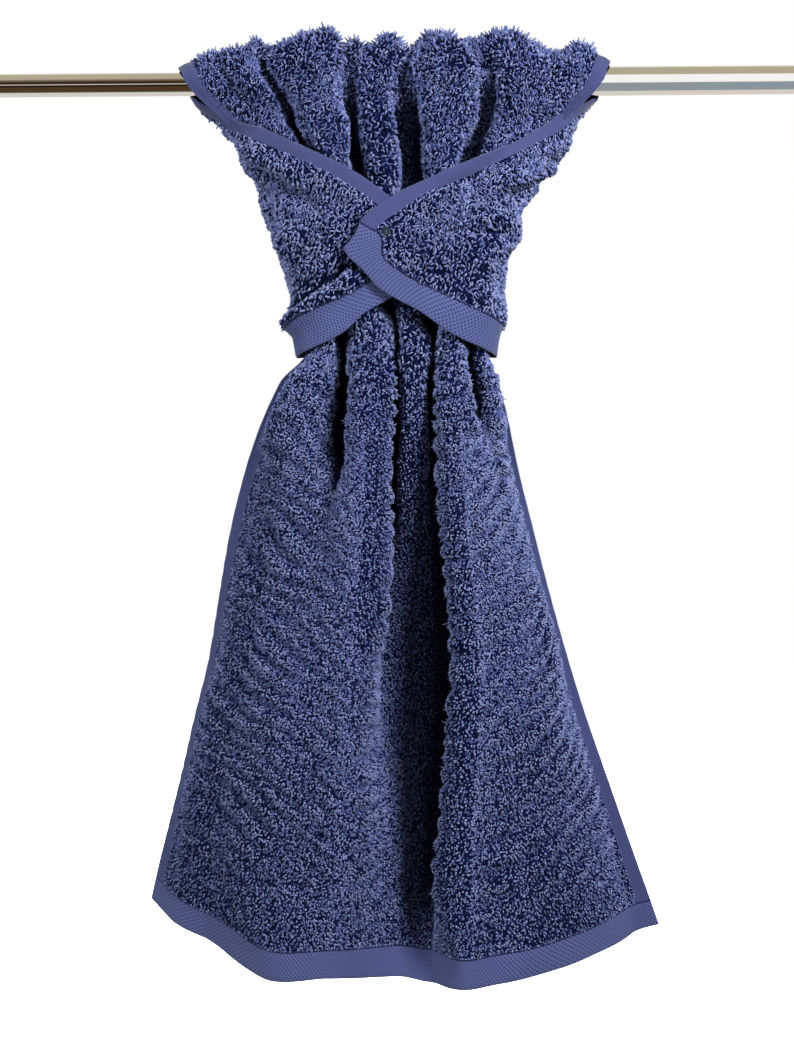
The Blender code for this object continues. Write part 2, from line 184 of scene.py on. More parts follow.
# The outline of the crest as it shows against the wall: sideways from the middle of the towel, and height
# above the rod's axis.
CREST_LINE = (
    (-172, 12), (-155, 18.6), (-146, 23.4), (-137, 25), (-126, 22.6), (-121, 21.5), (-111, 29.8),
    (-101, 27.4), (-89, 29), (-83, 26.5), (-77, 35), (-66, 41), (-55, 38.6), (-46, 35.4),
    (-39, 26), (-31, 29.5), (-25, 25.8), (-19, 22), (-7, 33.8), (-1, 36.2), (7, 29),
    (14, 21), (29, 33.8), (37, 39.4), (45, 36.5), (50, 24), (58, 31.4), (71, 33.8),
    (79, 36.2), (95, 35.4), (107, 23), (118, 23.5), (125, 22.6), (131, 18.5), (138, 20),
    (145, 29), (151, 26), (163, 19.4), (173, 14.5),
)
CREST_FADE = (5, 34)  # how far down the cloth from the crest its outline holds and fades

# How the front selvedges turn to face the viewer: from which length below the crest, how much cloth turns,
# how far its edge comes forward and how far the cloth beside it is drawn in.
EdgeTurn = namedtuple("EdgeTurn", "start full reach forward inward")
LEFT_TURNS = (EdgeTurn(10, 50, 30, 9, 2.5), EdgeTurn(225, 270, 34, 4, 0.5), EdgeTurn(270, 560, 50, -7, -9))
RIGHT_TURNS = (EdgeTurn(10, 50, 30, 9, 2.5), EdgeTurn(225, 270, 40, 3, 1.5))

# Troughs pressed across the wrap, each along a line from one x and z to another. One with a depth below zero
# is a roll of cloth.
Trough = namedtuple("Trough", "flap from_x from_z to_x to_z width depth")
TROUGHS = (
    Trough("left", -90, -184, -26, -147, 4.0, 13),
    Trough("left", -86, -195, -34, -164, 6.5, -7),
    Trough("left", -100, -90, -62, -106, 7, 6),
    Trough("left", -84, -130, -46, -122, 9, -3),
    Trough("right", 88, -126, 42, -129, 4.6, 6.5),
    Trough("right", 84, -145, 30, -148, 10, -3.5),
    Trough("right", 82, -104, 78, -126, 5, 3),
    Trough("right", 100, -52, 64, -88, 8, 4),
    Trough("right", 60, -72, 20, -104, 10, -2.5),
)

TROUGH_FRONT = (-2, 12)  # distances in front of the rod's axis between which the troughs set in

# Dents that deepen the folds of the skirt: distance from the left selvedge, length from the front hem, half
# the size each way, and depth
Dent = namedtuple("Dent", "share length across along depth")
DENTS = (
    Dent(113, 420, 9, 48, 16),
    Dent(216, 400, 14, 60, 6),
)

OVERHANGS = {("B", "G3"): 3, ("G4", "D"): 9}  # how far these ridges roll out over their grooves in the skirt
FOLD_SAMPLES = 33
GROOVE_MOST = 0.45  # of a fold's width or depth
RIDGE_TALLEST = 1.1  # times its width
STEEP = (0.9, 1.8)  # fall over run of a wall, between which a loose fold turns into a packed one
PROUD = (-6, 4)  # how far a fold stands out, between which it can be a packed one

# Lengths of cloth from the front hem: the crest, the start of the wrap, and pairs between which a thing
# starts or ends
CREST_AT = 750
REAR_AT = 790
SKIRT_TOP = (430, 520)  # the skirt's fine pile gives way to the coarse, stood-up pile
PUCKERED = ((30, 90), (440, 500))
PACKED = ((480, 540), (610, 680))  # the cloth is calmer where its folds are packed
WANDERING = ((500, 560), (725, 748))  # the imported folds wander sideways
FLAP_END = (930, 975)  # the flaps go flat towards their hem
TUFTED = (755, 40)  # the middle and half-width of the crest's tufts

# The plain woven borders, and the grid's lines across them and between them
SELVEDGE = 11
HEM = 21.5
HEM_SEAM = HEM - 1.4  # the sewn line
SELVEDGE_LINES = (0, 0.7, 2, 5, 8, 10.4, 11.4, 13.5)
HEM_LINES = (0, 0.7, 2, 5, 9.5, 14, 18, 20.1, 21.1, 22.1, 24.5)
COLUMN_STEP = 4
ROW_STOPS = (HEM_LINES[-1], 475, REAR_AT, TOWEL_LENGTH - HEM_LINES[-1])
ROW_STEPS = (3.4, 5, 4)
FINE_STEP = 1  # between the places across the cloth where its even folds are worked out
BORDER_BLEND = 70  # how far from its edge the cloth may shift to keep a border its true width
BORDER_MEASURE = 8  # how many of the grid's steps a border is measured over
SELVEDGE_SPREAD = (4, 2.4, 4)  # how near its way is taken, the most it is spread, and over how many rows
HEM_SPREAD = (BORDER_MEASURE, 1.6, 6)

# Half the thickness of the woven cloth without its pile, at distances from a selvedge and from a hem, and
# the share of it that a hem has near a selvedge
SIDE_HALF = ((0, 0.7, 2, SELVEDGE - 0.6, SELVEDGE + 0.4), (0.45, 0.75, 0.85, 0.85, 0.9))
END_HALF = ((0, 0.7, 2, HEM - 3.5, HEM_SEAM, HEM - 0.4, HEM + 0.6), (0.5, 0.95, 1.1, 1.1, 0.7, 0.95, 0.9))
RIM_SHARE = ((0, 0.7, 2), (0.5, 0.8, 1))

# Smooth lumps in the cloth: their height, their size across and along it, and the seed of their noise
Lump = namedtuple("Lump", "height across along seed")
BROAD_LUMPS = (Lump(4.0, 60, 95, 1), Lump(2.2, 26, 40, 2))
SMALL_LUMPS = (Lump(6.2, 19, 24, 3), Lump(2.4, 9, 11, 4))
WANDER = Lump(3.6, 48, 26, 10)
CALM_BORDER = (0, 40)  # distances from a selvedge between which the lumps grow
CALM_SHARE = 0.4  # of the lumps, at a selvedge
PACKED_SHARE = 0.5  # of the small lumps, where the folds are packed
FLAP_SHARE = 0.15  # of all lumps, at the flaps' hem
STRAIGHT_BORDER = (20, 70)  # distances from a selvedge between which the folds start to wander

# Crinkles across the skirt: how far apart, how much they slant on its left and right panels, how they drift
# and come in patches, and the distances from the left selvedge where they are strongest
CRINKLE_PITCH = 16.5
CRINKLE_ROUNDNESS = 0.8  # of their tops
CRINKLE_LEAST = 0.1  # their height everywhere
CRINKLE_SLANT = ((0, 165, 340, 500), (-80, 0, 0, -62))
CRINKLE_DRIFT = Lump(3.4, 70, 55, 5)
CRINKLE_PATCHES = Lump(1.1, 60, 45, 6)
Crinkled = namedtuple("Crinkled", "share width height")
CRINKLED = (
    Crinkled(60, 50, 2.2),
    Crinkled(150, 30, 1.1),
    Crinkled(190, 16, 3.2),
    Crinkled(250, 30, 0.3),
    Crinkled(304, 15, 2.8),
    Crinkled(355, 30, 2.2),
    Crinkled(430, 55, 3.3),
)

# Pile: how far apart its loops stand, how long, wide and high they are, how many tops each has, and the size
# of the clumps with cracks between them
Pile = namedtuple("Pile", "pitch length width height tops clump")
FINE_PILE = Pile(1.86, 2.3, 1.4, 1.7, 1, 1.9)
COARSE_PILE = Pile(2.15, 3.4, 1.3, 2.0, 2, 3.6)
INNER_PILE = Pile(3.3, 4.0, 2.9, 1.5, 1, 4)
PILE_SIDES = (SELVEDGE + 0.6, TOWEL_WIDTH - SELVEDGE - 0.6)
PILE_ENDS = (HEM - 0.5, TOWEL_LENGTH - HEM + 1.5)

# Where each pile lies: the side of the cloth, its first and last length, the share of its loops that are
# kept below and above the skirt's top, and the share that stands up, everywhere and more on the crest
Zone = namedtuple("Zone", "name outer pile start end below above upright tufts")
ZONES = (
    Zone("pile_skirt", True, FINE_PILE, PILE_ENDS[0], SKIRT_TOP[1], 1, 0, 0.03, 0),
    Zone("pile_upper", True, COARSE_PILE, SKIRT_TOP[0], PILE_ENDS[1], 0, 1, 0, 0.6),
    Zone("pile_inside", False, INNER_PILE, *PILE_ENDS, 1, 1, 0, 0),
)
PILE_JITTER = 0.45
CLUMP = 7  # the size of the clumps that loops are pulled towards
CLUMP_PULL = 0.9
CRACK_SHADE_SHARE = 0.17  # the loops that lie low in the cracks between clumps, painted near-black as shade
CRACK_HEIGHT = 0.5
CREASE_SHADE_DEPTH = 6  # how deep a trough is pressed where its loops lie low and are painted near-black as shade too
TUFT_STRETCH = 2.4  # how much higher a loop stands where it stands up
TUFT_LEAN = 2.2
TUFT_LENGTH = 0.5  # of a lying loop's
TOP_REACHES = (0.28, 0.36)  # from a long loop's middle to its two tops, standing and lying
FOOT_DEPTH = 0.35  # how far a loop's feet are sunk in the cloth
SHORN = 7  # how far from the selvedge the loops grow to their full height
COMBED = 0.55  # the share of the loops that lie down the cloth, turned by about this much
COMBED_TURN = (0.25, 0.55)
UPRIGHT = (0.13, 0.06, 1)  # nearly plumb, so that no normal runs along it
SAG = 0.35  # how far a loop's top hangs down, as a share of its height
LOOP_LENGTHS = (0.65, 1.3)
LOOP_WIDTHS = (0.8, 1.2)
LOOP_HEIGHTS = (0.55, 1.25)
LOOP_LEANS = (0.1, 0.6)
LOOP_TILT = 0.15  # between the two tops of a long loop

# Tone of the pile: patches of 5 mm that show less on the skirt, each loop's own random tone, painted shade
# in the puckers' valleys with painted light on their tops, and painted shade on the crest above painted
# light on the flaps
PATCH = 5
PATCH_TONES = (0.12, 0.58)
LOOP_TONE = 0.75
# painted shade in the puckers' valleys and painted light on their tops
PUCKER_SHADE = 0.34
# painted shade on the upper front and crest, and painted light on the flaps, by length from the front hem
CREST_SHADE_FLAP_LIGHT = ((520, 620, 770, 830), (0, -0.3, -0.3, 0.15))

# A loop is kept where one of these lines of sight is open: how far they reach, and how they lean
SIGHT = 90
SIGHT_LEANS = ((0, 0), (0.8, 0), (-0.8, 0), (0, 0.8), (0, -0.8), (1.8, 0), (-1.8, 0))
SIGHT_LIFT = 1.2  # where they start above the cloth

# Space that the cloth keeps from the rod's axis, at two places along it
ROD_CLEAR = ((-80, -60), (11.2, 13.5))

ROD_LENGTH = 700
ROD_THIN_RADIUS = 9.5
ROD_WIDE_RADIUS = 11.75
ROD_JOINT = TOWEL_MIDDLE - 70
ROD_INSERT = 60  # how far the thin tube reaches into the wide one
ROD_BORE_RADIUS = 9.85
ROD_BORE_ROOM = 0.5
ROD_SIDES = 96
ROD_EDGE = 0.6

# The snap's cap, as pairs of height and radius: a thin flange, a rounded dome and a shallow dimple
SNAP_X = -7
SNAP_Z = -129
SNAP_REACHES = (200, 270)  # where it is looked for, round the wrap
SNAP_BASE = 0.55  # above the middle of the cloth, sunk in its pile
SNAP_SIDES = 40
SNAP_FLANGE = ((0, 0), (0, 4.3), (0.2, 4.5), (0.5, 4.5), (0.75, 4.2))
SNAP_DOME = ((0.9, 1.2), (1.4, 2.7))  # its foot and top radius, then its rise and spread
SNAP_DIMPLE = ((2.2, 0.7), (2.05, 0))

# Colours: the pile's tones from its cracks, painted near-black as shade, to its lightest loops, lighter at
# random and painted greyer as a highlight; the knots and gaps of the ground under it, with painted shade in
# the gaps and the whole outer ground painted dark as shade under the pile; and the low and high threads of
# the borders, painted darker and lighter as shade and light on their relief
TONES = ((0.004, 0.01, 0.055), (0.1, 0.125, 0.275), (0.195, 0.225, 0.385))
OUTER_GROUND_SHADE = ((0.018, 0.028, 0.098), (0.001, 0.002, 0.018))
INNER_GROUND = ((0.10, 0.12, 0.26), (0.012, 0.015, 0.045))
SELVEDGE_TONES = ((0.04, 0.047, 0.12), (0.07, 0.083, 0.185))
HEM_TONES = ((0.014, 0.018, 0.06), (0.084, 0.102, 0.222))
# Weave of the borders: the pitch of the selvedge's ribs and threads and of the hem's pits, and half the seam
RIB_PITCH = 1.4
THREAD_PITCH = 1.3
PIT_PITCH = 3.2
SEAM_HALF = 0.6

CHROME = (0.80, 0.79, 0.77)
SNAP_COLOUR = (0.010, 0.023, 0.034)

# The room that the chrome mirrors, as seen round the rod at its left and right: degrees from level with the
# viewer, and a colour
BEIGE = (0.62, 0.56, 0.44)
OCHRE = (0.3, 0.26, 0.19)
BROWN = (0.13, 0.075, 0.035)
DARK = (0.02, 0.012, 0.006)
PALE = (0.85, 0.82, 0.78)
WHITE = (1.15, 1.15, 1.15)
STEEL = (0.4, 0.45, 0.5)
GREEN = (0.16, 0.24, 0.17)
ROOM_LEFT = (
    (-120, PALE), (-98, PALE), (-93, GREEN), (-82, BROWN), (-40, BROWN), (-30, DARK), (-22, DARK),
    (-14, PALE), (-6, BROWN), (4, DARK), (12, BROWN), (30, OCHRE), (42, BEIGE), (95, BEIGE), (120, WHITE),
)
ROOM_RIGHT = (
    (-120, PALE), (-104, PALE), (-98, STEEL), (-34, STEEL), (-28, WHITE), (28, WHITE), (33, BEIGE),
    (95, BEIGE), (120, WHITE),
)

Light = namedtuple("Light", "name place target size power")
LIGHTS = (
    Light("key", (1.4, -1.25, 0.3), (0.35, 0, -0.35), 0.45, 54),
    Light("front", (0.75, -1.6, 0.2), (0.35, 0, -0.4), 0.3, 5),
    Light("fill", (-1.2, -1.05, -0.15), (0.35, 0, -0.5), 0.7, 37),
    Light("back", (0.0, 1.9, 0.7), (0.35, 0, -0.35), 1.2, 85),
)
AMBIENT = ((0.97, 0.98, 1, 1), 0.05)
GAMMA = 0.85
CAMERA_AIM = (0.3496, 0, -0.3577)
CAMERA_DISTANCE = 1.25
CAMERA_LENS = 53.12
CAMERA_ROLL = -0.0079
FLOOR_PLACE = (0.35, 0, -0.9)
FLOOR_RADIUS = 5


def placed(lines, at):
    """The line before each place, and the share of the way from there to the next line."""
    first = np.clip(np.searchsorted(lines, at, side="right") - 1, 0, len(lines) - 2)
    return first, ((at - lines[first]) / (lines[first + 1] - lines[first]))[:, None]


def distances(x, y):
    """The distance along each row's curve, from its first point."""
    length = np.cumsum(np.hypot(np.diff(x, axis=1), np.diff(y, axis=1)), axis=1)
    return np.concatenate([np.zeros((len(x), 1)), length], axis=1)


def smooth(knots, values, at):
    """A curve through the values at the knots that never swings past them."""
    knots = np.asarray(knots, float)
    values = np.asarray(values, float)
    flat = values.reshape(len(knots), -1)
    step = np.diff(knots)[:, None]
    rise = np.diff(flat, axis=0) / step
    slope = np.zeros_like(flat)
    near = 2 * step[1:] + step[:-1]
    far = step[1:] + 2 * step[:-1]
    same_way = rise[:-1] * rise[1:] > 0
    safe_before = np.where(same_way, rise[:-1], 1)
    safe_after = np.where(same_way, rise[1:], 1)
    slope[1:-1] = np.where(same_way, (near + far) / (near / safe_before + far / safe_after), 0)
    slope[0] = rise[0]
    slope[-1] = rise[-1]
    at = np.asarray(at, float)
    i, t = placed(knots, at)
    h = step[i]
    out = (1 + 2 * t) * (1 - t) ** 2 * flat[i] + t * (1 - t) ** 2 * h * slope[i]
    out += t * t * (3 - 2 * t) * flat[i + 1] + t * t * (t - 1) * h * slope[i + 1]
    return out.reshape((len(at),) + values.shape[1:])


def ease(low, high, value):
    """0 below low, 1 above high, and an S curve between them."""
    t = np.clip((value - low) / (high - low), 0, 1)
    return t * t * (3 - 2 * t)


def within(span, value):
    """1 within a span and 0 outside it. The span is a pair of lows and a pair of highs to fade between."""
    return ease(*span[0], value) * (1 - ease(*span[1], value))


def bell(value, middle, width):
    return np.exp(-(((value - middle) / width) ** 2))


def from_edge(place, whole):
    """The distance from the nearer of two opposite edges."""
    return np.minimum(place, whole - place)


def unit(vectors):
    return vectors / np.maximum(np.linalg.norm(vectors, axis=-1, keepdims=True), 1e-6)


SHARES = np.array([fold.share for fold in FOLDS], float)


def fold_lines(along):
    """Each fold line's x, distance out from the rod or towards the viewer, and height, down the front."""
    levels = [-LEVELS[0].along, 0] + [level.along for level in LEVELS]
    names = ["rod", "crest"] + [level.name for level in LEVELS]
    x, out = ([[getattr(f, name + way) for name in names] for f in FOLDS] for way in ("_x", "_out"))
    heights = [[level.z for level in LEVELS[:-2]] for f in FOLDS]
    for row, fold in zip(heights, FOLDS):
        mid = row[-1]
        row += [mid + LOW_SHARE * (fold.hem_z - mid), fold.hem_z]
    return (
        smooth(levels, np.transpose(x), along),
        smooth(levels, np.transpose(out), along),
        smooth(levels[2:], np.transpose(heights), np.maximum(along, levels[2])),
    )


def packing(along):
    """How tightly the folds are packed, how far they roll and how wide each groove is, down the front."""
    levels = [LEVELS[0]._replace(along=0), *LEVELS]
    packed, rolled = smooth([level.along for level in levels], [level[3:] for level in levels], along).T
    reach = {level.name: level.along for level in LEVELS}
    stops = [0, reach["throat"], reach["collar"], reach["knee"], reach["hem"]]
    widths = {
        g.name: smooth(stops, [g.rod, g.throat, g.collar, g.knee, g.knee], along)[:, None] for g in GROOVES
    }
    return packed, rolled, widths


def fold_quarter(width, depth, groove, roll, t):
    """One side of a packed fold, from the top of its ridge to the bottom of its groove, as run and fall.

    The ridge is a quarter of an ellipse that may roll out over the groove, the groove is a quarter of a
    small circle, and a straight wall joins them."""
    groove = np.minimum(groove, GROOVE_MOST * np.minimum(width, depth))
    ridge_width = width - groove + roll
    ridge_depth = np.minimum(depth - groove, RIDGE_TALLEST * ridge_width)
    wall_end = width - groove
    turn = np.linspace(0, math.pi / 2, FOLD_SAMPLES)[None, :]
    run = np.concatenate([ridge_width * np.sin(turn), wall_end + groove * (1 - np.cos(turn))], axis=1)
    fall = np.concatenate([ridge_depth * (1 - np.cos(turn)), depth - groove + groove * np.sin(turn)], axis=1)
    length = distances(run, fall)
    length /= length[:, -1:]
    both = [[np.interp(t, length[i], run[i]), np.interp(t, length[i], fall[i])] for i in range(len(run))]
    return np.array(both).transpose(1, 0, 2)


def prominence(out, j):
    """How far fold line j stands proud of its neighbours, or sinks below them if it is a groove."""
    beside = [k for k in (j - 1, j + 1) if 0 <= k < len(FOLDS)]
    facing = 1 if j % 2 else -1
    return np.min([facing * (out[:, j] - out[:, k]) for k in beside], axis=0)


def cross_section(x, out, along, shares):
    """The section's x and out, a row for each level and a column for each distance across the cloth."""
    packed, rolled, grooves = packing(along)
    loose_x = smooth(SHARES, x.T, shares).T
    loose_out = smooth(SHARES, out.T, shares).T
    for j in range(len(FOLDS) - 1):
        inside = (shares >= SHARES[j]) & (shares <= SHARES[j + 1])
        t = (shares[inside] - SHARES[j]) / (SHARES[j + 1] - SHARES[j])
        width = np.maximum(x[:, j + 1] - x[:, j], 1)[:, None]
        fall = np.abs(out[:, j + 1] - out[:, j])[:, None]
        down = j % 2 == 1
        roll = OVERHANGS.get((FOLDS[j].name, FOLDS[j + 1].name), 0) * rolled[:, None]
        groove = grooves.get(FOLDS[j + 1 if down else j].name, EDGE_GROOVE)
        run, drop = fold_quarter(width, np.maximum(fall, 1), groove, roll, t if down else 1 - t)
        start, top = (x[:, j], out[:, j]) if down else (x[:, j + 1], out[:, j + 1])
        tight_x = start[:, None] + (run if down else -run)
        tight_out = top[:, None] - drop
        steep = np.maximum(packed, ease(*STEEP, fall[:, 0] / width[:, 0]))
        proud = ease(*PROUD, prominence(out, j)) * ease(*PROUD, prominence(out, j + 1))
        mix = (steep * proud)[:, None]
        loose_x[:, inside] += mix * (tight_x - loose_x[:, inside])
        loose_out[:, inside] += mix * (tight_out - loose_out[:, inside])
    return loose_x, loose_out


def pleated(along, shares):
    """The pleats' section at one length below the crest: its x and out at each distance across the cloth."""
    along = np.array([along], float)
    x, out, _ = fold_lines(along)
    x, out = cross_section(x, out, along, shares)
    return x[0], creased(out, along, shares)[0]


def crested(out, along, shares):
    """Brings the cloth near the crest to its outline."""
    top_x, top_out = pleated(0, shares)
    outline = np.interp(top_x, *np.transpose(CREST_LINE)) - top_out
    return out + (1 - ease(*CREST_FADE, np.abs(along)))[:, None] * outline[None, :]


def creased(out, along, shares):
    """Presses the soft creases near the rod into the section."""
    for crease in CREASES:
        down = 1 - ease(0.3 * crease.reach, crease.reach, np.abs(along))
        out = out - crease.depth * down[:, None] * bell(shares, crease.share, crease.width)[None, :]
    return out


def edges_turned(x, out, along, shares):
    """Turns the front selvedges towards the viewer."""
    for turns, inside, way in ((LEFT_TURNS, shares, 1), (RIGHT_TURNS, TOWEL_WIDTH - shares, -1)):
        for turn in turns:
            opened = ease(turn.start, turn.full, along)[:, None]
            near = np.clip(1 - inside / turn.reach, 0, 1)[None, :]
            out = out + opened * turn.forward * near**1.5
            x = x + way * opened * turn.inward * 4 * near * (1 - near)
    return x, out


def front(along, shares):
    """Points of the front half, from the crest at 0 down to the hem."""
    x, out, z = fold_lines(along)
    x, out = cross_section(x, out, along, shares)
    x, out = edges_turned(x, out, along, shares)
    out = crested(creased(out, along, shares), along, shares)
    turn = np.minimum(along / LEVELS[0].along, 1)[:, None] * math.pi / 2
    hung = smooth(SHARES, z.T, shares).T
    height = np.where(along[:, None] < LEVELS[0].along, out * np.cos(turn), hung)
    return np.stack([x, -out * np.sin(turn), height], axis=2)


def wrap_grid():
    """The wrap's sections as grids of reach, x and y for the right side and the left, a row a height."""
    z = np.linspace(0, SECTIONS[-1].z, WRAP_GRID[0])
    knots = [-s.z for s in SECTIONS]
    turn = np.linspace(0, WRAP_TURN, WRAP_GRID[1])
    power = 2 / SQUARENESS
    sides = []
    for side, facing, flap in (("right", 1, "over"), ("left", -1, "under")):
        width, back, ahead = (
            smooth(knots, [getattr(s, name) for s in SECTIONS], -z)[:, None] for name in (side, "back", flap)
        )
        run = np.sign(np.sin(turn)) * np.abs(np.sin(turn)) ** power
        rise = np.sign(np.cos(turn)) * np.abs(np.cos(turn)) ** power
        x = width * run
        y = np.where(np.cos(turn) > 0, back, ahead) * rise
        sides.append((distances(x, y), facing * x, y))
    return z, sides


def on_wrap(reach, z):
    """The point of the wrap at each signed reach and height."""
    levels, sides = wrap_grid()
    row = np.clip(-z / -levels[-1] * (len(levels) - 1), 0, len(levels) - 1.001)
    lower = row.astype(int)
    blend = row - lower
    points = np.stack([np.zeros_like(reach), np.zeros_like(reach), z], axis=-1)
    for (lengths, *curves), chosen in zip(sides, (reach >= 0, reach < 0)):
        for i in range(len(levels)):
            for offset, weight in ((0, 1 - blend), (1, blend)):
                here = chosen & (lower + offset == i)
                for axis, curve in enumerate(curves):
                    place = np.interp(np.abs(reach[here]), lengths[i], curve[i])
                    points[here, axis] += weight[here] * place
    return points


def wrapped(down, shares):
    """Points of the wrapped half, from behind the rod at 0 to its hem at 1."""
    pleat_x, pleat_out = pleated(LEVELS[0].along, shares)
    side = 2 * shares / TOWEL_WIDTH - 1
    part = np.abs(side)
    way = np.sign(side)
    selvedge, hem = (
        smooth([e.part for e in edges], [e[1:] for e in edges], at)
        for edges, at in ((FLAP_SELVEDGE, down), (WRAP_HEM, part))
    )
    down = down[:, None]
    corners = WRAP_HEM[-1][1:]
    start = FLAP_SELVEDGE[0].right_reach
    middle = WRAP_HEM[0].right_z
    reach = (1 - down) * pleat_x
    z = (1 - part) * middle * down
    for here, reach_at, z_at in ((side >= 0, 0, 1), (side < 0, 2, 3)):
        swing = selvedge[:, reach_at, None] - (1 - down) * start - down * corners[reach_at]
        reach[:, here] += (way * (down * hem[:, reach_at] + part * swing))[:, here]
        drop = down * hem[:, z_at] + part * selvedge[:, z_at, None]
        z[:, here] += (drop - down * ((1 - part) * middle + part * corners[z_at]))[:, here]
    points = on_wrap(reach, np.minimum(z, 0))
    base = on_wrap(pleat_x, np.zeros_like(pleat_x))
    fade = 1 - ease(0, BACK_PLEATS_FADE, down)
    points[:, :, 0] += fade * (pleat_x - base[:, 0])
    points[:, :, 1] += fade * (pleat_out - base[:, 1])
    return points


def towel_at(shares, lengths):
    """The towel's middle surface on a grid, a row for each length of cloth from the front hem."""
    hung = lengths[lengths <= CREST_AT]
    over = lengths[(lengths > CREST_AT) & (lengths <= REAR_AT)]
    wrap = lengths[lengths > REAR_AT]
    rear = front(over - CREST_AT, shares)
    rear[:, :, 1] *= -1
    down = (wrap - REAR_AT) / (TOWEL_LENGTH - REAR_AT)
    return np.concatenate([front(CREST_AT - hung, shares), rear, wrapped(down, shares)])


def lumpy(shares, lengths, *lumps):
    """Smooth noise on the grid, the sum of these lumps. Each seed takes its own part of the noise."""
    total = np.zeros((len(lengths), len(shares)))
    for height, across, along, seed in lumps:
        u = shares / across + seed * 7.3
        s = lengths / along + seed * 3.1
        total += height * np.array([[noise.noise((a, b, seed * 1.7)) for a in u] for b in s])
    return total


def crinkles(shares, lengths):
    """Puckers across the skirt, with round tops and narrow valleys."""
    u, s = shares[None, :], lengths[:, None]
    slant = np.interp(u, *CRINKLE_SLANT)
    turn = math.pi * (s + slant) / CRINKLE_PITCH + lumpy(shares, lengths, CRINKLE_DRIFT)
    shape = 2 * np.abs(np.sin(turn)) ** CRINKLE_ROUNDNESS - 1.2
    strength = CRINKLE_LEAST + sum(c.height * bell(u, c.share, c.width) for c in CRINKLED)
    patches = np.clip(1 + lumpy(shares, lengths, CRINKLE_PATCHES), 0.1, 2)
    return within(PUCKERED, s) * strength * shape * patches


def unevenness(shares, lengths):
    """How far the cloth stands off its even folds, towards its outer side, on the grid, without puckers."""
    s = lengths[:, None]
    skirt = 1 - ease(*SKIRT_TOP, s)
    broad = lumpy(shares, lengths, *BROAD_LUMPS)
    small = lumpy(shares, lengths, *SMALL_LUMPS)
    return skirt * broad + (1 - skirt) * (1 - PACKED_SHARE * within(PACKED, s)) * small


def meander(shares, lengths):
    """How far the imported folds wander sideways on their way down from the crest."""
    inside = ease(*STRAIGHT_BORDER, from_edge(shares, TOWEL_WIDTH))
    return lumpy(shares, lengths, WANDER) * within(WANDERING, lengths)[:, None] * inside[None, :]


def pressed(points, shares, lengths):
    """How deep the troughs and dents press into the cloth at each point of the grid."""
    depth = np.zeros(points.shape[:2])
    for t in TROUGHS:
        line = np.array((t.to_x - t.from_x, t.to_z - t.from_z), float)
        offset = points[:, :, [0, 2]] - (t.from_x, t.from_z)
        part = np.clip(offset @ line / (line @ line), 0, 1)[:, :, None]
        away = np.linalg.norm(offset - part * line, axis=2)
        half = (shares < TOWEL_WIDTH / 2) == (t.flap == "left")
        depth += t.depth * bell(away, 0, t.width) * half
    depth *= ease(*TROUGH_FRONT, -points[:, :, 1]) * (lengths > REAR_AT)[:, None]
    for d in DENTS:
        across = bell(shares, d.share, d.across)
        depth += d.depth * bell(lengths, d.length, d.along)[:, None] * across[None, :]
    return depth


def clear_of_rod(points):
    """Moves the cloth out to where it lies clear of the rod."""
    away = np.hypot(points[:, :, 1], points[:, :, 2])
    room = np.interp(points[:, :, 0], *ROD_CLEAR)
    points[:, :, 1:] *= np.maximum(1, room / np.maximum(away, 1))[:, :, None]
    return points


def half_thickness(shares, lengths):
    """Half the thickness of the woven cloth at each point of the grid, thinner at its rims and seams."""
    from_side = from_edge(shares, TOWEL_WIDTH)[None, :]
    from_end = from_edge(lengths, TOWEL_LENGTH)[:, None]
    hem = np.interp(from_end, *END_HALF) * np.interp(from_side, *RIM_SHARE)
    return np.where(from_end < END_HALF[0][-1], hem, np.interp(from_side, *SIDE_HALF))


def spread_borders(grid, places, along, lines, whole, near, most, evened):
    """Where the lines are taken from in each row of the grid, so that the borders keep their true width.

    The grid's columns lie at these places of the whole, and its rows at these lengths along the borders.
    A border's way is taken at a column near its edge, and its spread is evened over some rows each way."""
    taken = lines + np.zeros((len(along), 1))
    for edge, way, inside, measured in ((0, 1, lines, places), (-1, -1, whole - lines, whole - places)):
        inner = edge + way * BORDER_MEASURE
        outward = (grid[:, inner] - grid[:, edge]) / measured[inner]
        beside = np.gradient(grid[:, edge + way * near], along, axis=0)
        width = np.linalg.norm(np.cross(outward, beside), axis=1) / np.linalg.norm(beside, axis=1)
        factor = np.pad(np.clip(1 / width, 1, most), evened, mode="edge")
        factor = np.convolve(factor, np.ones(2 * evened + 1) / (2 * evened + 1), mode="valid")
        taken += way * (factor - 1)[:, None] * inside * np.clip(1 - inside / BORDER_BLEND, 0, 1) ** 2
    return taken


def between_columns(grid, place):
    """The grid's points at places between its columns, a row of places for each of its rows."""
    place = np.clip(place, 0, grid.shape[1] - 1.001)
    column = place.astype(int)
    part = (place - column)[:, :, None]
    row = np.arange(len(grid))[:, None]
    return grid[row, column] * (1 - part) + grid[row, column + 1] * part


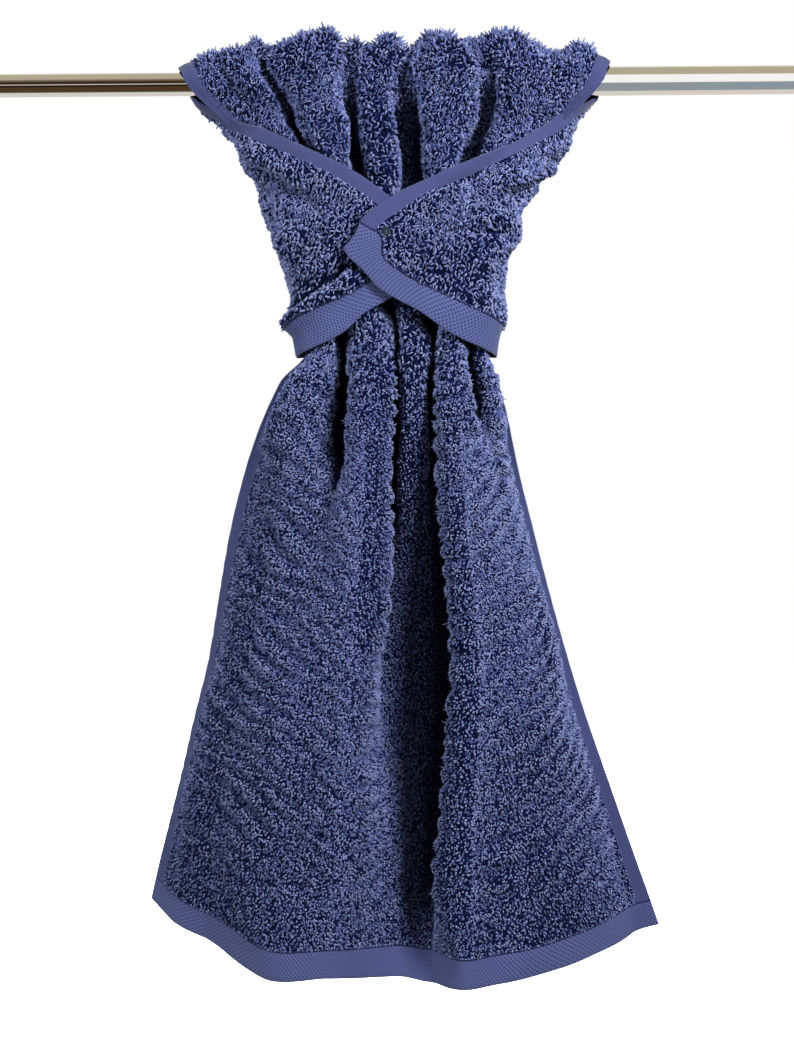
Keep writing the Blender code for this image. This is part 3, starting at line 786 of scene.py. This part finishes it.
class Cloth:
    """The towel's surface on a grid in millimetres, with its outward normals and its thickness."""

    def __init__(self):
        sides = np.array(SELVEDGE_LINES)
        across = TOWEL_WIDTH - 2 * sides[-1]
        middle = np.linspace(sides[-1], TOWEL_WIDTH - sides[-1], round(across / COLUMN_STEP))
        self.shares = np.concatenate([sides, middle[1:-1], TOWEL_WIDTH - sides[::-1]])
        ends = np.array(HEM_LINES, float)
        runs = [np.arange(a, b, step) for a, b, step in zip(ROW_STOPS, ROW_STOPS[1:], ROW_STEPS)]
        self.lengths = np.concatenate([ends, runs[0][1:], *runs[1:], TOWEL_LENGTH - ends[::-1]])
        even = self.true_ends(self.true_borders())
        even[:, :, 0] += meander(self.shares, self.lengths)
        from_side = from_edge(self.shares, TOWEL_WIDTH)
        calm = CALM_SHARE + (1 - CALM_SHARE) * ease(*CALM_BORDER, from_side)[None, :]
        calm = calm * (1 - (1 - FLAP_SHARE) * ease(*FLAP_END, self.lengths))[:, None]
        puckers = crinkles(self.shares, self.lengths)
        troughs = pressed(even, self.shares, self.lengths)
        push = calm * (unevenness(self.shares, self.lengths) + puckers) - troughs
        facing = self.normals_of(even)
        self.points = clear_of_rod(even + facing * push[:, :, None]) + (TOWEL_MIDDLE, 0, 0)
        self.normals = self.normals_of(self.points)
        self.half = half_thickness(self.shares, self.lengths)[:, :, None]
        self.puckers = puckers[:, :, None]
        self.pressed = troughs[:, :, None]

    def true_borders(self):
        """The even folds on the grid, with the cloth beside each selvedge spread to its true width."""
        fine = np.arange(0, TOWEL_WIDTH + FINE_STEP, FINE_STEP)
        dense = towel_at(fine, self.lengths)
        taken = spread_borders(dense, fine, self.lengths, self.shares, TOWEL_WIDTH, *SELVEDGE_SPREAD)
        return between_columns(dense, taken / FINE_STEP)

    def true_ends(self, grid):
        """The grid with the cloth beside each hem spread to its true length."""
        turned = grid.transpose(1, 0, 2)
        taken = spread_borders(turned, self.lengths, self.shares, self.lengths, TOWEL_LENGTH, *HEM_SPREAD)
        place = np.interp(taken, self.lengths, np.arange(len(self.lengths)))
        return between_columns(turned, place).transpose(1, 0, 2)

    def normals_of(self, grid):
        """The outward normal at each point of the grid."""
        across = np.gradient(grid, self.shares, axis=1)
        down = np.gradient(grid, self.lengths, axis=0)
        return unit(np.cross(across, down))

    def at(self, values, u, s):
        """The grid's values at each place on the cloth."""
        column, a = placed(self.shares, u)
        row, b = placed(self.lengths, s)
        near = values[row, column] * (1 - a) + values[row, column + 1] * a
        far = values[row + 1, column] * (1 - a) + values[row + 1, column + 1] * a
        return near * (1 - b) + far * b

    def surface(self, u, s, outer):
        """Points on the chosen side of the woven cloth, and the way each faces."""
        normal = unit(self.at(self.normals, u, s)) * (1 if outer else -1)
        return self.at(self.points, u, s) + normal * self.at(self.half, u, s), normal


def link_object(name, mesh):
    made = bpy.data.objects.new(name, mesh)
    bpy.context.scene.collection.objects.link(made)
    return made


def mesh_object(name, points, faces, finishes):
    """A smooth object from points in millimetres and faces that all have the same number of corners."""
    mesh = bpy.data.meshes.new(name)
    mesh.vertices.add(len(points))
    mesh.vertices.foreach_set("co", (points * MM).astype(np.float32).reshape(-1))
    mesh.loops.add(faces.size)
    mesh.loops.foreach_set("vertex_index", faces.reshape(-1).astype(np.int32))
    mesh.polygons.add(len(faces))
    corners = faces.shape[1]
    mesh.polygons.foreach_set("loop_start", np.arange(0, faces.size, corners, dtype=np.int32))
    mesh.polygons.foreach_set("loop_total", np.full(len(faces), corners, np.int32))
    mesh.update(calc_edges=True)
    for finish in finishes:
        mesh.materials.append(finish)
    mesh.shade_smooth()
    return link_object(name, mesh)


def sheet_object(cloth, name, finishes):
    """The woven cloth as a closed thin sheet: outer ground, selvedges, hems and inner ground."""
    rows, columns = cloth.points.shape[:2]
    count = rows * columns
    lift = cloth.normals * cloth.half
    points = np.concatenate([cloth.points + lift, cloth.points - lift]).reshape(-1, 3)
    index = np.arange(count).reshape(rows, columns)
    corners = [index[:-1, :-1], index[:-1, 1:], index[1:, 1:], index[1:, :-1]]
    outer = np.stack(corners, axis=2).reshape(-1, 4)
    rim = np.concatenate([index[0, :-1], index[:-1, -1], index[-1, :0:-1], index[:0:-1, 0]])
    after = np.roll(rim, -1)
    side = np.stack([after, rim, rim + count, after + count], axis=1)
    faces = np.concatenate([outer, outer[:, ::-1] + count, side])
    made = mesh_object(name, points, faces, finishes)
    u, s = np.meshgrid(cloth.shares, cloth.lengths)
    place = np.tile(np.stack([u, s], axis=2).reshape(-1, 2), (2, 1))
    middle = place[faces].mean(axis=1)
    ground = np.where(np.arange(len(faces)) < len(outer), 0, 3)
    border = np.where(from_edge(middle[:, 0], TOWEL_WIDTH) < SELVEDGE, 1, ground)
    finish = np.where(from_edge(middle[:, 1], TOWEL_LENGTH) < HEM, 2, border)
    made.data.polygons.foreach_set("material_index", finish.astype(np.int32))
    layer = made.data.uv_layers.new(name="weave")
    layer.data.foreach_set("uv", (place[faces.reshape(-1)] * MM).astype(np.float32).reshape(-1))
    return made


def spotted(u, s, size, seed):
    """Smooth noise from -1 to 1 at each place on the cloth, with features of this size."""
    return np.array([noise.noise((a / size, b / size, seed * 5.7)) for a, b in zip(u, s)])


def lattice(pitch, low_u, high_u, low_s, high_s, random):
    """Places on the cloth in rough rows, each moved a little at random and towards a clump."""
    u, s = np.meshgrid(np.arange(low_u, high_u, pitch), np.arange(low_s, high_s, pitch))
    u = u + 0.5 * pitch * (np.arange(u.shape[0]) % 2)[:, None]
    u = u.ravel() + random.uniform(-1, 1, u.size) * PILE_JITTER * pitch
    s = s.ravel() + random.uniform(-1, 1, s.size) * PILE_JITTER * pitch
    u = u + CLUMP_PULL * spotted(u, s, CLUMP, 7)
    s = s + CLUMP_PULL * spotted(u, s, CLUMP, 8)
    return np.clip(u, low_u, high_u), np.clip(s, low_s, high_s)


def open_to_view(cloth, u, s, outer, tree):
    """Which places on this side of the cloth can be seen from somewhere outside."""
    start, normal = cloth.surface(u, s, outer)
    start += SIGHT_LIFT * normal
    tangent = unit(np.cross(normal, (0, 0, 1)))
    other = np.cross(normal, tangent)
    seen = np.zeros(len(u), bool)
    for lean_a, lean_b in SIGHT_LEANS:
        ways = normal + lean_a * tangent + lean_b * other
        for k in np.nonzero(~seen)[0]:
            hit = tree.ray_cast(Vector(start[k] * MM), Vector(ways[k]), SIGHT * MM)
            seen[k] = hit[0] is None
    return seen


def mounds(feet, way, over, length, width, tops):
    """Closed mounds on four corners each, drawn up to one top or to a short ridge between two."""
    sides = ((1, 1), (-1, 1), (-1, -1), (1, -1))
    corners = [feet + 0.5 * (a * length * way + b * width * over) for a, b in sides]
    faces = [(0, 2, 1), (0, 3, 2)]
    if len(tops) == 1:
        faces += [(0, 1, 4), (1, 2, 4), (2, 3, 4), (3, 0, 4)]
    else:
        faces += [(3, 0, 4), (0, 1, 5), (0, 5, 4), (1, 2, 5), (2, 3, 4), (2, 4, 5)]
    return np.stack([*corners, *tops], axis=1), np.array(faces)


def loops_object(name, cloth, u, s, outer, pile, upright, random, finish):
    """One mesh of loops at these places. Upright is the share of them that stand up, at each place."""
    surface, normal = cloth.surface(u, s, outer)
    feet = surface - FOOT_DEPTH * normal
    tangent = unit(np.cross(normal, UPRIGHT))
    down = np.cross(tangent, normal)
    down *= -np.sign(down[:, 2:3])
    n = len(u)
    combed = random.uniform(0, 1, n) < COMBED
    turn = np.where(combed, random.normal(*COMBED_TURN, n), random.uniform(0, math.tau, n))[:, None]
    way = down * np.cos(turn) + tangent * np.sin(turn)
    stands = (random.uniform(0, 1, n) < upright)[:, None]
    length = pile.length * np.where(stands, TUFT_LENGTH, random.uniform(*LOOP_LENGTHS, n)[:, None])
    width = pile.width * random.uniform(*LOOP_WIDTHS, n)[:, None]
    height = pile.height * (random.uniform(*LOOP_HEIGHTS, n) + 0.3 * spotted(u, s, CLUMP, 9))
    height *= 0.5 + 0.5 * ease(SELVEDGE, SELVEDGE + SHORN, from_edge(u, TOWEL_WIDTH))
    height = height[:, None] * np.where(stands, TUFT_STRETCH, 1) + FOOT_DEPTH
    fall = random.uniform(0, math.tau, n)[:, None]
    lean = (tangent * np.cos(fall) + down * np.sin(fall)) * random.uniform(*LOOP_LEANS, n)[:, None]
    lean = lean * np.where(stands, TUFT_LEAN, 1) + SAG * down * pile.height
    tops = [feet + normal * height + lean]
    if pile.tops == 2:
        half = way * length * np.where(stands, *TOP_REACHES)
        tilt = normal * height * random.uniform(-LOOP_TILT, LOOP_TILT, n)[:, None]
        tops = [tops[0] + half + tilt, tops[0] - half - tilt]
    corners, faces = mounds(feet, way, np.cross(normal, way), length, width, tops)
    each = corners.shape[1]
    faces = (faces[None] + each * np.arange(n)[:, None, None]).reshape(-1, 3)
    return mesh_object(name, corners.reshape(-1, 3), faces, [finish])


def feed(tree, socket, value):
    """Links a socket to another node's output, or sets it to a plain value."""
    if isinstance(value, bpy.types.NodeSocket):
        tree.links.new(value, socket)
    else:
        socket.default_value = value


def node(tree, kind, *values, **settings):
    """A node with its first inputs fed in order, and with its named settings and inputs."""
    made = tree.nodes.new("ShaderNode" + kind)
    for name, value in settings.items():
        if name in made.inputs:
            feed(tree, made.inputs[name], value)
        else:
            setattr(made, name, value)
    for socket, value in zip(made.inputs, values):
        feed(tree, socket, value)
    return made


def maths(tree, operation, *values):
    return node(tree, "Math", *values, operation=operation).outputs[0]


def colour_bands(tree, place, stops):
    """Colours that blend from stop to stop. Each stop is a place from 0 to 1 and a colour."""
    made = node(tree, "ValToRGB", place)
    elements = made.color_ramp.elements
    elements.remove(elements[0])
    for k, (at, colour) in enumerate(stops):
        element = elements.new(at) if k else elements[0]
        element.position = at
        element.color = (*colour, 1)
    return made.outputs[0]


def principled(name, colour, roughness, **more):
    """A material, its node tree and its shader, with more of the shader's inputs by name."""
    made = bpy.data.materials.new(name)
    made.use_nodes = True
    shader = made.node_tree.nodes["Principled BSDF"]
    for socket, value in dict(Base_Color=(*colour, 1), Roughness=roughness, **more).items():
        shader.inputs[socket.replace("_", " ")].default_value = value
    return made, made.node_tree, shader


def bumped(tree, shader, height, strength, distance, invert=False):
    """Gives the shader's surface a relief."""
    bump = node(tree, "Bump", Strength=strength, Distance=distance, Height=height, invert=invert)
    feed(tree, shader.inputs["Normal"], bump.outputs[0])


def pile_finish(name, tone):
    """Soft matt cotton in a plain colour. The loops' shapes give light and shade, and the tones they are
    given add painted shade in cracks and creases and a painted highlight on the lightest loops.
    """
    sheen = dict(Sheen_Weight=0.12, Sheen_Tint=(0.75, 0.8, 1, 1))
    return principled(name, tone, 0.85, Specular_IOR_Level=0.25, **sheen)[0]


def ground_finish(name, knot, gap):
    """The short loops low in the pile, as rounded knots whose colour darkens towards the gaps between them
    as painted shade.
    """
    made, tree, shader = principled(name, gap, 0.95)
    place = node(tree, "UVMap", uv_map="weave").outputs[0]
    wander = node(tree, "TexNoise", Vector=place, Scale=500, Detail=1).outputs["Color"]
    shift = node(tree, "MixRGB", 0.0008, place, wander, blend_type="LINEAR_LIGHT").outputs[0]
    knots = node(tree, "TexVoronoi", Vector=shift, Scale=620).outputs["Distance"]
    # light at the knots' middles, darkening to the gap colour at their borders: painted shade between the
    # knots
    feed(tree, shader.inputs["Base Color"], colour_bands(tree, knots, ((0.22, knot), (0.5, gap))))
    bumped(tree, shader, knots, 1.0, 0.0007, invert=True)
    return made


def weave_finish(name, height_of, tones, strength):
    """A flat-woven border. height_of gives the weave's relief, from 0 to 1, from the place on the cloth. Its
    colour follows the relief, so that low threads and pits are painted darker as shade and high threads
    lighter as light.
    """
    low, high = tones
    made, tree, shader = principled(name, high, 0.8, Sheen_Weight=0.2)
    place = node(tree, "UVMap", uv_map="weave").outputs[0]
    split = node(tree, "SeparateXYZ", place)
    u, s = (maths(tree, "DIVIDE", split.outputs[k], MM) for k in (0, 1))
    height = height_of(tree, u, s)
    # colour follows the relief: its low parts take the darker colour, painted shade in the low threads and
    # pits and a dark line at the seam
    feed(tree, shader.inputs["Base Color"], colour_bands(tree, height, ((0, low), (1, high))))
    bumped(tree, shader, height, strength, 0.0004)
    return made


def wave(tree, place, pitch):
    """A wave from 0 to 1 along place."""
    sine = maths(tree, "SINE", maths(tree, "MULTIPLY", place, math.tau / pitch))
    return maths(tree, "ADD", maths(tree, "MULTIPLY", sine, 0.5), 0.5)


def ribs(tree, u, s):
    """Fine ribs across the selvedge, crossed by finer threads."""
    slanted = maths(tree, "ADD", s, maths(tree, "MULTIPLY", u, 0.5))
    across = maths(tree, "MULTIPLY", wave(tree, slanted, RIB_PITCH), 0.6)
    return maths(tree, "ADD", across, maths(tree, "MULTIPLY", wave(tree, u, THREAD_PITCH), 0.4))


def dobby(tree, u, s):
    """Small pits in offset rows, which the hem's colour paints dark as shade, and the sewn line where the
    hem ends.
    """
    one, two = (wave(tree, maths(tree, way, u, s), PIT_PITCH) for way in ("ADD", "SUBTRACT"))
    pits = maths(tree, "POWER", maths(tree, "MULTIPLY", one, two), 1.1)
    from_end = maths(tree, "MINIMUM", s, maths(tree, "SUBTRACT", TOWEL_LENGTH, s))
    from_seam = maths(tree, "ABSOLUTE", maths(tree, "SUBTRACT", from_end, HEM_SEAM))
    seam = maths(tree, "LESS_THAN", from_seam, SEAM_HALF)
    return maths(tree, "SUBTRACT", 1, maths(tree, "MAXIMUM", pits, seam))


def chrome_finish():
    """Polished metal with faint long smears."""
    made, tree, shader = principled("polished_chrome", CHROME, 0.07, Metallic=1.0)
    place = node(tree, "TexCoord").outputs["Object"]
    stretched = node(tree, "Mapping", Vector=place, Scale=(6, 400, 400)).outputs[0]
    smears = node(tree, "TexNoise", Vector=stretched, Scale=1.0, Detail=3).outputs[0]
    rough = maths(tree, "ADD", maths(tree, "MULTIPLY", smears, 0.08), 0.03)
    feed(tree, shader.inputs["Roughness"], rough)
    return made


def snap_finish():
    """Dark moulded plastic with a fine grain."""
    made, tree, shader = principled("snap_cap", SNAP_COLOUR, 0.4, Coat_Weight=0.2)
    place = node(tree, "TexCoord").outputs["Object"]
    grain = node(tree, "TexNoise", Vector=place, Scale=2500, Detail=2).outputs[0]
    bumped(tree, shader, grain, 0.15, 0.0001)
    return made


def shape_object(name, shape, finish):
    """An object of a bmesh, which is freed."""
    mesh = bpy.data.meshes.new(name)
    shape.to_mesh(mesh)
    shape.free()
    mesh.materials.append(finish)
    return link_object(name, mesh)


def turned_object(name, outline, sides, finish, sharp_degrees=35):
    """The outline of (along, radius) points turned about X, with its first and last points on the axis."""
    shape = bmesh.new()
    points = [shape.verts.new((along * MM, 0, radius * MM)) for along, radius in outline]
    edges = [shape.edges.new(pair) for pair in zip(points[:-1], points[1:])]
    bmesh.ops.spin(shape, geom=points + edges, axis=(1, 0, 0), cent=(0, 0, 0), angle=math.tau, steps=sides)
    bmesh.ops.remove_doubles(shape, verts=shape.verts, dist=1e-6)
    bmesh.ops.recalc_face_normals(shape, faces=shape.faces)
    made = shape_object(name, shape, finish)
    made.data.shade_smooth()
    made.data.set_sharp_from_angle(angle=math.radians(sharp_degrees))
    return made


def rounded(along, radius, inward, steps=4):
    """A quarter-round edge where a tube's side meets its end. Inward is 1 if the tube lies at greater X."""
    turns = np.linspace(0, math.pi / 2, steps)
    runs = [inward * ROD_EDGE * (1 - math.cos(t)) for t in turns]
    return [(along + run, radius - ROD_EDGE * (1 - math.sin(t))) for run, t in zip(runs, turns)]


def make_rod(finish):
    """The two tubes of the rod, the thinner one pushed into the wider one's bore."""
    inserted = ROD_JOINT + ROD_INSERT
    bottom = inserted + ROD_BORE_ROOM
    thin = [(0, 0), *rounded(0, ROD_THIN_RADIUS, 1), (inserted, ROD_THIN_RADIUS), (inserted, 0)]
    bore = [(bottom, 0), (bottom, ROD_BORE_RADIUS), (ROD_JOINT, ROD_BORE_RADIUS)]
    lip = rounded(ROD_JOINT, ROD_WIDE_RADIUS, 1)
    wide = [*bore, *lip, *rounded(ROD_LENGTH, ROD_WIDE_RADIUS, -1)[::-1], (ROD_LENGTH, 0)]
    left = turned_object("rod_tube_left", thin, ROD_SIDES, finish)
    right = turned_object("rod_tube_right", wide, ROD_SIDES, finish)
    for piece, stands_for in ((left, "rod_left"), (right, "rod_right")):
        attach(piece, "root")
        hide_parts(stands_for)
    return left, right


def snap_seat():
    """The point on the upper flap where the snap sits, and the way it faces."""
    reach = np.linspace(*SNAP_REACHES, 141)
    line = on_wrap(reach, np.full(reach.shape, float(SNAP_Z)))
    place = reach[np.argmin(np.abs(line[:, 0] - SNAP_X))]
    here, beside, below = on_wrap(np.array([place, place + 1, place]), SNAP_Z - np.array([0.0, 0, 1]))
    facing = unit(np.cross(beside - here, below - here))
    return here, facing * -np.sign(facing[1])


def make_snap(finish):
    """A press snap's cap: a thin flange, a rounded dome and a shallow dimple in its middle."""
    here, facing = snap_seat()
    (foot, top), (rise, spread) = SNAP_DOME
    turns = np.linspace(0, math.pi / 2, 7)
    dome = [(foot + rise * math.sin(t), top + spread * math.cos(t)) for t in turns]
    outline = [(SNAP_BASE + up, radius) for up, radius in (*SNAP_FLANGE, *dome, *SNAP_DIMPLE)]
    cap = turned_object("snap_dome", outline, SNAP_SIDES, finish, 50)
    turn = Vector((1, 0, 0)).rotation_difference(Vector(facing)).to_matrix().to_4x4()
    cap.data.transform(Matrix.Translation(Vector(here + (TOWEL_MIDDLE, 0, 0)) * MM) @ turn)
    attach(cap, "root")
    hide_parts("snap")
    return cap


def pile_places(cloth, zone, tree, random):
    """The places on the cloth where this zone's loops stand and can be seen."""
    u, s = lattice(zone.pile.pitch, *PILE_SIDES, zone.start, zone.end, random)
    share = zone.below + (zone.above - zone.below) * ease(*SKIRT_TOP, s)
    kept = random.uniform(0, 1, len(u)) < share
    u, s = u[kept], s[kept]
    seen = open_to_view(cloth, u, s, zone.outer, tree)
    return u[seen], s[seen]


def pile_tones(cloth, clump, u, s, random):
    """Each loop's tone: 0, painted near-black as shade, where it lies low in a crack or a crease, and
    otherwise 1 or 2, split by random patches and shades, painted shade in the puckers' valleys and on the
    crest, and painted light on the puckers' tops and the flaps.
    """
    steady, upper = PATCH_TONES
    tone = (steady + upper * ease(*SKIRT_TOP, s)) * spotted(u, s, PATCH, 4)
    tone += random.uniform(-LOOP_TONE, LOOP_TONE, len(u))
    # painted shade in the puckers' valleys and on the crest, painted light on the puckers' tops and on the
    # flaps
    tone += PUCKER_SHADE * cloth.at(cloth.puckers, u, s)[:, 0] + np.interp(s, *CREST_SHADE_FLAP_LIGHT)
    from_crack = np.abs(spotted(u, s, clump, 11))
    deep = cloth.at(cloth.pressed, u, s)[:, 0]
    # loops in cracks and deep creases take tone 0, painted near-black as shade, and lie lower
    cracked_and_shaded = (from_crack < np.quantile(from_crack, CRACK_SHADE_SHARE)) | (deep > CREASE_SHADE_DEPTH)
    return np.where(cracked_and_shaded, 0, 1 + (tone > np.median(tone)))


def make_pile(cloth, sheet, random):
    """The loops of each zone as one mesh for each tone."""
    shape = bmesh.new()
    shape.from_mesh(sheet.data)
    tree = BVHTree.FromBMesh(shape)
    shape.free()
    # three tones: near-black painted shade for cracks and creases, a middle tone, and a lighter tone painted
    # greyer as a highlight
    finishes = [pile_finish(f"terry_tone_{k + 1}", tone) for k, tone in enumerate(TONES)]
    made = []
    for zone in ZONES:
        u, s = pile_places(cloth, zone, tree, random)
        tones = pile_tones(cloth, zone.pile.clump, u, s, random)
        upright = zone.upright + zone.tufts * bell(s, *TUFTED)
        for tone, finish in enumerate(finishes):
            here = tones == tone
            pile = zone.pile if tone else zone.pile._replace(height=zone.pile.height * CRACK_HEIGHT)
            name = f"{zone.name}_{tone + 1}"
            where = (cloth, u[here], s[here], zone.outer)
            made.append(loops_object(name, *where, pile, upright[here], random, finish))
    return made


def make_towel():
    """The woven cloth with its borders, and the pile on both its sides."""
    cloth = Cloth()
    finishes = (
        # the outer ground, painted dark as shade under the pile
        ground_finish("terry_ground", *OUTER_GROUND_SHADE),
        weave_finish("selvedge_weave", ribs, SELVEDGE_TONES, 0.4),
        weave_finish("hem_weave", dobby, HEM_TONES, 0.8),
        ground_finish("terry_ground_inside", *INNER_GROUND),
    )
    sheet = sheet_object(cloth, "towel_cloth", finishes)
    made = make_pile(cloth, sheet, np.random.default_rng(SEED))
    for piece in [sheet, *made]:
        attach(piece, "root")
    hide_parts("towel")


def make_light(name, place, target, size, power):
    """An area light that neither the camera nor the chrome sees."""
    lamp = bpy.data.lights.new(name, "AREA")
    lamp.energy = power
    lamp.size = size
    made = link_object(name, lamp)
    made.location = place
    made.rotation_euler = (Vector(target) - Vector(place)).to_track_quat("-Z", "Y").to_euler()
    made.visible_camera = False
    made.visible_glossy = False


def make_camera():
    """Level with the towel's middle and in front of it, turned a little as the photograph is."""
    camera = bpy.data.cameras.new("camera")
    camera.lens = CAMERA_LENS
    camera.sensor_width = 36
    made = link_object("camera", camera)
    made.location = Vector(CAMERA_AIM) - Vector((0, CAMERA_DISTANCE, 0))
    look = Vector((0, 1, 0)).to_track_quat("-Z", "Y").to_matrix()
    made.rotation_euler = (look @ Matrix.Rotation(CAMERA_ROLL, 3, "Z")).to_euler()
    bpy.context.scene.camera = made


def make_room():
    """White surroundings, and the bands of a room that only glossy things mirror."""
    world = bpy.data.worlds.new("room")
    bpy.context.scene.world = world
    world.use_nodes = True
    tree = world.node_tree
    tree.nodes.clear()
    place = node(tree, "TexCoord").outputs["Generated"]
    right, back, up = node(tree, "SeparateXYZ", place).outputs
    height = maths(tree, "ARCTAN2", up, maths(tree, "MULTIPLY", back, -1))
    share = maths(tree, "ADD", maths(tree, "MULTIPLY", height, 1 / math.tau), 0.5)
    sides = [
        colour_bands(tree, share, [(degrees / 360 + 0.5, colour) for degrees, colour in bands])
        for bands in (ROOM_LEFT, ROOM_RIGHT)
    ]
    rightward = node(tree, "MapRange", right, -0.05, 0.12).outputs[0]
    both = node(tree, "MixRGB", rightward, *sides).outputs[0]
    colours = (AMBIENT, (both, 1.0), ((1, 1, 1, 1), 1.0))
    ambient, mirrored, seen = (node(tree, "Background", *pair).outputs[0] for pair in colours)
    path = node(tree, "LightPath").outputs
    unseen = node(tree, "MixShader", path["Is Glossy Ray"], ambient, mirrored).outputs[0]
    whole = node(tree, "MixShader", path["Is Camera Ray"], unseen, seen).outputs[0]
    node(tree, "OutputWorld", whole)


def make_floor():
    """A glowing white floor far below, which isn't mirrored in the chrome and doesn't light the towel."""
    shape = bmesh.new()
    bmesh.ops.create_circle(shape, cap_ends=True, segments=96, radius=FLOOR_RADIUS)
    glow = dict(Emission_Color=(1, 1, 1, 1), Emission_Strength=1.0)
    floor = shape_object("floor", shape, principled("pale_floor", (0.8, 0.8, 0.8), 0.9, **glow)[0])
    floor.location = FLOOR_PLACE
    floor.visible_glossy = False
    floor.visible_diffuse = False


make_camera()
make_room()
make_floor()
for light in LIGHTS:
    make_light(*light)
bpy.context.scene.view_settings.view_transform = "Standard"
bpy.context.scene.view_settings.gamma = GAMMA
rods = make_rod(chrome_finish())
cap = make_snap(snap_finish())
make_towel()
